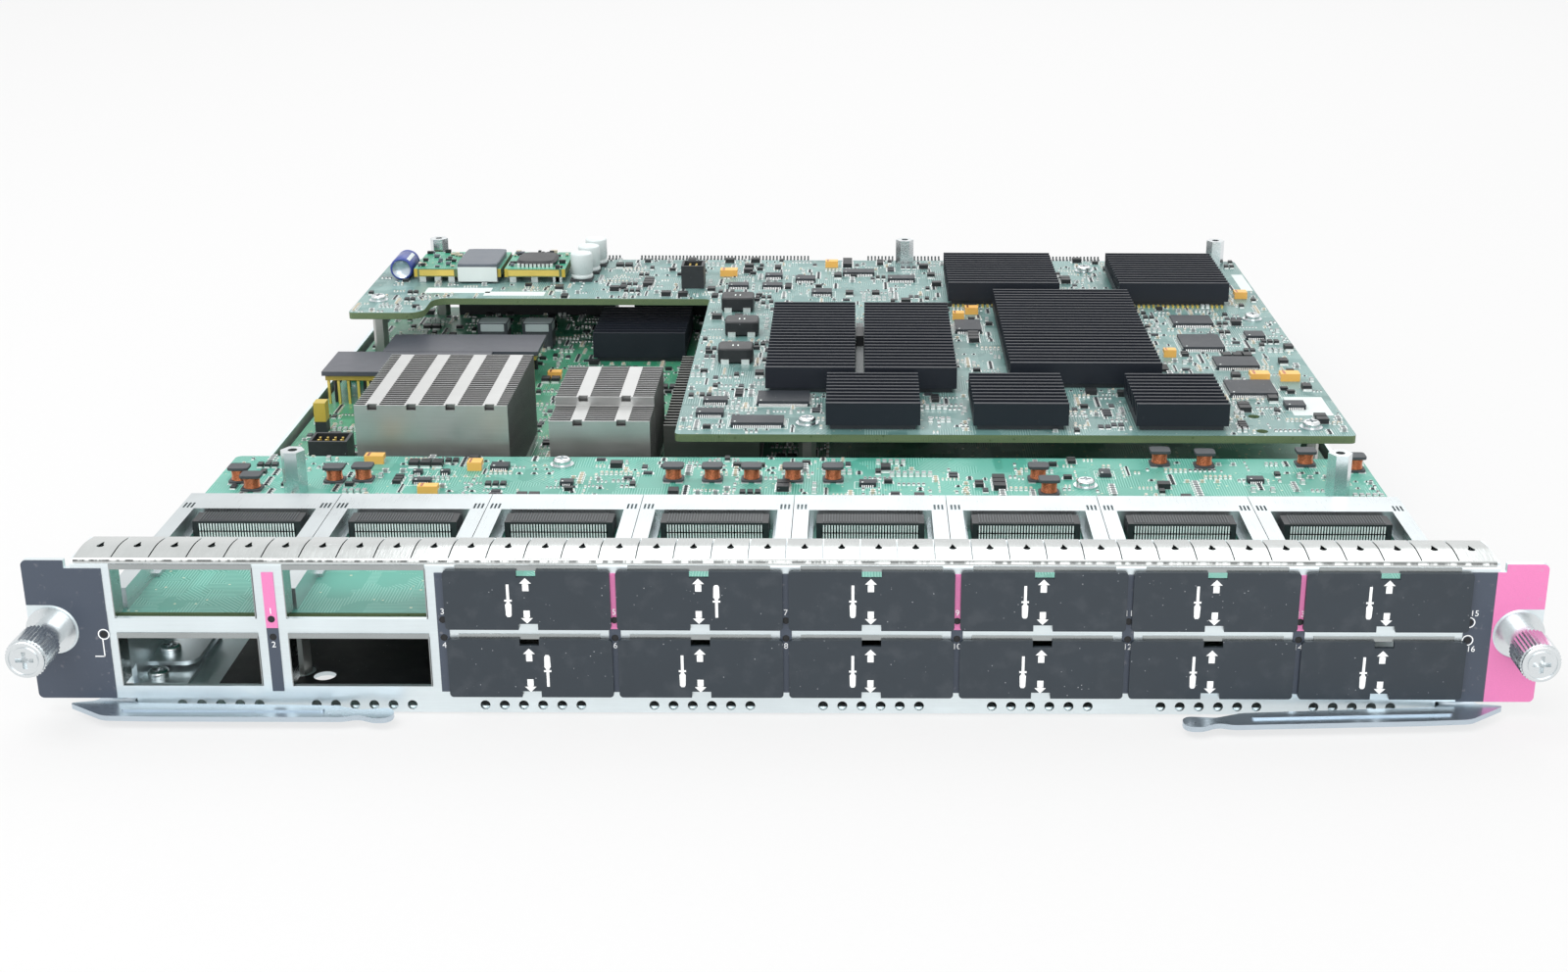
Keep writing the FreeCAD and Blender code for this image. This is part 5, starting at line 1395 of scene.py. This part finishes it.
@dataclass
class PowerModules:
    """Two converters on legs: a small board with plated edges round a core, in place of their node."""

    deck: tuple[float, float] = (33.1, 36.3)
    core_spans: tuple[tuple[float, float], ...] = ((0.5, 0.97), (0.16, 0.82))
    gold_spans: tuple[tuple[float, float], ...] = ((0.06, 0.46), (0.06, 0.9))
    lip: float = 1.2
    leg: float = 2.6
    winding_turns: int = 9
    deck_parts: int = 46
    first_seed: int = 31

    def board(self, shell: Shell, low: np.ndarray, high: np.ndarray, index: int) -> None:
        """A converter's deck, its gold and yellow edges, and its legs."""
        width, front, back = high[0] - low[0], low[1] + self.lip, high[1]
        bottom, top = self.deck
        level, floor = (bottom + top) / 2, low[2]
        middle = [(low[0] + high[0]) / 2, (front + back) / 2, level]
        shell.boxes(middle, [width, back - front, top - bottom], 0)
        start, end = (low[0] + width * share for share in self.gold_spans[index])
        shell.boxes([(start + end) / 2, front - 0.04, level], [end - start, 0.12, 2.5], 1)
        shell.boxes(lined([low[0] + 0.7, high[0] - 0.7], front - 0.02, level), [1.4, 0.1, 3.3], 2)
        for x in (low[0] + 3, start + (end - start) * 0.5, end - 1.5, high[0] - 3):
            legs = lined(x, [front + 3, back - 3], (floor + bottom) / 2)
            shell.boxes(legs, [self.leg, self.leg, bottom - floor], 3)

    def core(self, shell: Shell, low: np.ndarray, high: np.ndarray, index: int) -> tuple[float, float]:
        """A converter's core: a labelled block on the first, a wound coil on the second.

        Returns:
            The core's ends along X.
        """
        start, end = (low[0] + (high[0] - low[0]) * share for share in self.core_spans[index])
        front, back, floor, top = low[1] + self.lip, high[1], low[2], self.deck[1]
        if index == 0:
            shell.rounded([start, low[1], floor + 0.6], [end, back - 4, high[2]], 4, 0.35, 16)
            shell.boxes([(start + end) / 2, low[1] - 0.04, floor + 3.9], [(end - start) * 0.96, 0.1, 6.0], 5)
        else:
            shell.rounded([start, front + 3, top], [end, back - 9, high[2]], 6, 0.9, 5)
            x = np.linspace(start + 1.5, end - 1.5, self.winding_turns)
            shell.boxes(lined(x, front + 10, top + 0.7), [1.1, 15.0, 1.5], 3)
        return start, end

    def parts(self, shell: Shell, low: np.ndarray, high: np.ndarray, index: int,
              core: tuple[float, float]) -> None:
        """Small parts, each on a tinned pad, wherever the core leaves the deck free."""
        front, back, top = low[1] + self.lip, high[1], self.deck[1]
        core_back = back - (3.2 if index == 0 else 8.0)
        random = np.random.default_rng(self.first_seed + index)
        for _ in range(self.deck_parts):
            x, y = random.uniform(low[0] + 1, high[0] - 1), random.uniform(front + 1, back - 1)
            if core[0] - 1.2 < x < core[1] + 1.2 and y < core_back:
                continue
            size = random.uniform((0.9, 0.7, 0.5), (2.6, 1.8, 1.5))
            shell.boxes([x, y, top + 0.1], size * [1.3, 1, 0] + [0, 0, 0.3], 3)
            shell.boxes([x, y, top + size[2] / 2], size, int(random.choice([4, 6, 6, 7])))

    def build(self, card: Card) -> None:
        """Both converters as one piece."""
        shell = Shell("converters", MODULE_LAMINATE, GOLD, YELLOW_EDGE, TIN, SLATE, PAPER, BLACK, CERAMIC)
        for index, (low, high) in enumerate(card.solids("power_modules")):
            self.board(shell, low, high, index)
            self.parts(shell, low, high, index, self.core(shell, low, high, index))
        piece = shell.build()
        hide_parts("power_modules")


@dataclass
class SmallTrim:
    """Metal ends on the tantalum capacitors, gold pins in the headers, lids on the relays, labels."""

    end: float = 0.9
    pin_pitch: float = 2.54
    pin: float = 0.7
    brick_pin_pitch: float = 3.6
    brick_pin: tuple[float, float, float] = (0.9, 0.9, 8.8)
    tallest_package: float = 5.0
    tallest_header: float = 8.0
    relay_foot: tuple[float, float, float] = (1.2, 0.8, 1.0)
    label: float = 0.1

    def ends(self, shell: Shell, low: np.ndarray, high: np.ndarray) -> None:
        """A tinned wrap at each end of a capacitor's longer side and a printed polarity bar."""
        middle, size = (low + high) / 2, high - low
        axis = 0 if size[0] >= size[1] else 1
        wrap, bar = size * [0.62, 0.62, 0.5], size * [0.86, 0.86, 0] + [0, 0, 0.03]
        wrap[axis], bar[axis] = self.end, size[axis] * 0.14
        for sign in (-1, 1):
            centre = middle.copy()
            centre[axis] += sign * (size[axis] / 2 - self.end / 2 + 0.18)
            centre[2] = low[2] + wrap[2] / 2
            shell.boxes(centre, wrap, 0)
        centre = middle.copy()
        centre[axis] -= size[axis] * 0.3
        centre[2] = high[2] + 0.01
        shell.boxes(centre, bar, 3)

    def header(self, shell: Shell, low: np.ndarray, high: np.ndarray) -> None:
        """Two rows of gold pins just proud of a long header's own, or a yellow cap on a tall jumper."""
        middle, size = (low + high) / 2, high - low
        if size[0] > 3 * self.pin_pitch:
            x = spread(middle[0], int((size[0] - 2.0) // self.pin_pitch), self.pin_pitch)
            for y in (middle[1] - self.pin_pitch / 2, middle[1] + self.pin_pitch / 2):
                shell.boxes(lined(x, y, middle[2] + 1.0), [self.pin, self.pin, size[2] - 3.0], 1)
        elif size[2] > self.tallest_header:
            shell.boxes([middle[0], middle[1], high[2] - size[2] * 0.3], size * [1.03, 1.03, 0.62], 5)

    def relay(self, shell: Shell, low: np.ndarray, high: np.ndarray) -> None:
        """A dark lower shell, a paler lid a little wider than it, and four tinned feet in front."""
        seam = high[2] - (high[2] - low[2]) * 0.35
        shell.rounded(low - [0.05, 0.05, 0], [high[0] + 0.05, high[1] + 0.05, seam], 6, 0.3, 12)
        shell.rounded([low[0] - 0.1, low[1] - 0.1, seam - 0.1], high + 0.1, 4, 0.5, 12)
        feet = lined(np.linspace(low[0] + 1.5, high[0] - 1.5, 4), low[1] - 0.4, low[2] + 0.5)
        shell.boxes(feet, self.relay_foot, 0)

    def build(self, card: Card) -> None:
        """All the trim as one piece."""
        shell = Shell("small_trim", TIN, GOLD, PAPER, COPPER, RELAY, YELLOW_EDGE, FERRITE)
        for low, high in card.solids("tantalum_capacitors"):
            self.ends(shell, low, high)
        for low, high in card.solids("pin_headers"):
            self.header(shell, low, high)
        for low, high in card.solids("power_bricks"):
            x = np.arange(low[0] + 2.0, high[0] - 1.0, self.brick_pin_pitch)
            shell.boxes(lined(x, low[1] + 1.6, low[2] + self.brick_pin[2] / 2), self.brick_pin, 1)
        for low, high in card.solids("ic_packages"):
            if high[2] - low[2] > self.tallest_package:
                self.relay(shell, low, high)
        x, y, width, depth = np.array(LABEL_PLACES).T
        top = top_of("upper_board")
        shell.boxes(lined(x, y, top + self.label / 2), lined(width, depth, self.label), 2)
        shell.build()


# ---- The room ----

@dataclass
class Studio:
    """A pale floor, soft lamps and the camera; places in metres, angles in degrees."""

    camera_place: tuple[float, float, float] = (0.0181, -0.4876, 0.2410)
    pitch_down: float = 20.04
    roll: float = 0.18
    focal: float = 47.54
    shift: float = -0.0478
    floor_width: float = 12.0
    floor_height: float = -0.0005
    lit_at: tuple[float, float, float] = (0.0, 0.15, 0.0)

    def floor(self) -> None:
        """A wide floor just under the card that shows white to the camera and in reflections."""
        nodes = Nodes("floor_paper")
        grain = nodes.noise(2.0, 3.0)
        path = nodes.make("ShaderNodeLightPath")
        glossy = Value(nodes, path.outputs["Is Glossy Ray"])
        sees = Value(nodes, path.outputs["Is Camera Ray"]).highest(glossy)
        colour = nodes.shade((0.62, 0.62, 0.62), 0.97 + grain * 0.05)
        shader = nodes.make("ShaderNodeBsdfPrincipled", None, {"Base Color": colour, "Roughness": 0.8})
        glow = nodes.make("ShaderNodeEmission", None, {"Color": (1, 1, 1, 1), "Strength": 1.0})
        mixed = {0: sees * 0.7, 1: shader.outputs[0], 2: glow.outputs[0]}
        extra = nodes.make("ShaderNodeMixShader", None, mixed)
        nodes.make("ShaderNodeOutputMaterial", None, {0: extra.outputs[0]})
        mesh = bpy.data.meshes.new("floor")
        corners = [(x, y, self.floor_height) for x, y in SQUARE * self.floor_width]
        mesh.from_pydata(corners, [], [(0, 1, 2, 3)])
        mesh.materials.append(nodes.material)
        floor = bpy.data.objects.new("floor", mesh)
        bpy.context.collection.objects.link(floor)

    def lamp(self, name: str, place: tuple[float, float, float], size: float, power: float) -> None:
        """A square area lamp that faces the middle of the card.

        Args:
            name: the lamp's name.
            place: where it hangs.
            size: its side.
            power: its power in watts.
        """
        light = bpy.data.lights.new(name, "AREA")
        light.size = size
        light.energy = power
        lamp = bpy.data.objects.new(name, light)
        lamp.location = place
        lamp.rotation_euler = (Vector(self.lit_at) - Vector(place)).to_track_quat("-Z", "Y").to_euler()
        bpy.context.collection.objects.link(lamp)

    def sky(self) -> None:
        """An even pale surround."""
        world = bpy.data.worlds.new("surround")
        world.use_nodes = True
        background = world.node_tree.nodes["Background"]
        background.inputs["Color"].default_value = (1.0, 1.0, 1.0, 1.0)
        background.inputs["Strength"].default_value = 1.0
        bpy.context.scene.world = world

    def camera(self) -> None:
        """The camera, low in front of the card and a little above it."""
        lens = bpy.data.cameras.new("camera")
        lens.lens = self.focal
        lens.sensor_width = 36.0
        lens.shift_x = self.shift
        lens.clip_start = 0.01
        camera = bpy.data.objects.new("camera", lens)
        camera.location = self.camera_place
        camera.rotation_mode = "XYZ"
        camera.rotation_euler = (math.radians(90 - self.pitch_down), math.radians(-self.roll), 0)
        bpy.context.collection.objects.link(camera)
        bpy.context.scene.camera = camera

    def build(self) -> None:
        """Sets the room up."""
        bpy.context.scene.view_settings.view_transform = "Standard"
        self.floor()
        self.sky()
        self.lamp("key", (-0.6, -0.3, 1.3), 1.0, 10.0)
        self.lamp("front", (0.2, -1.5, 0.7), 1.2, 8.0)
        self.lamp("back", (0.1, 1.4, 1.2), 1.2, 6.0)
        self.camera()


def main(frame: dict) -> None:
    """Builds and dresses the card.
    """
    logging.basicConfig(level=logging.INFO, format="%(name)s: %(message)s")
    card = Card(frame)
    card.dress()
    sinks = tuple(node for node in frame["nodes"] if "heat_sink" in node)
    tall = sinks + TALL_NODES
    edge = 177.0
    fields = (
        ChipField("port_board_parts", "port_board", tall + FRONT_NODES, (-edge, edge, 78.0, 129.0), 460, 11),
        ChipField("upper_board_parts", "upper_board", tall, (-edge, edge, 137.5, 367.5), 3000, 12,
                  kept_clear=LABEL_PLACES),
        ChipField("main_board_parts", "main_board", tall + ("upper_board", "port_board"),
                  (-edge, 10.0, 112.0, 371.0), 1900, 13, clear_height=12.0),
    )
    for chips in fields:
        chips.build(card)
    PackageLeads(cover_nodes=sinks + ("upper_board",)).build(card)
    Coils().build(card)
    Cans().build(card)
    SocketContacts().build(card)
    SinkFixings().build()
    PinRows().build(card)
    PowerModules().build(card)
    SmallTrim().build(card)
    CoverMarks().build()
    FacePrint().build()
    Studio().build()


if __name__ == "__main__":
    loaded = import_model()
    main(loaded)
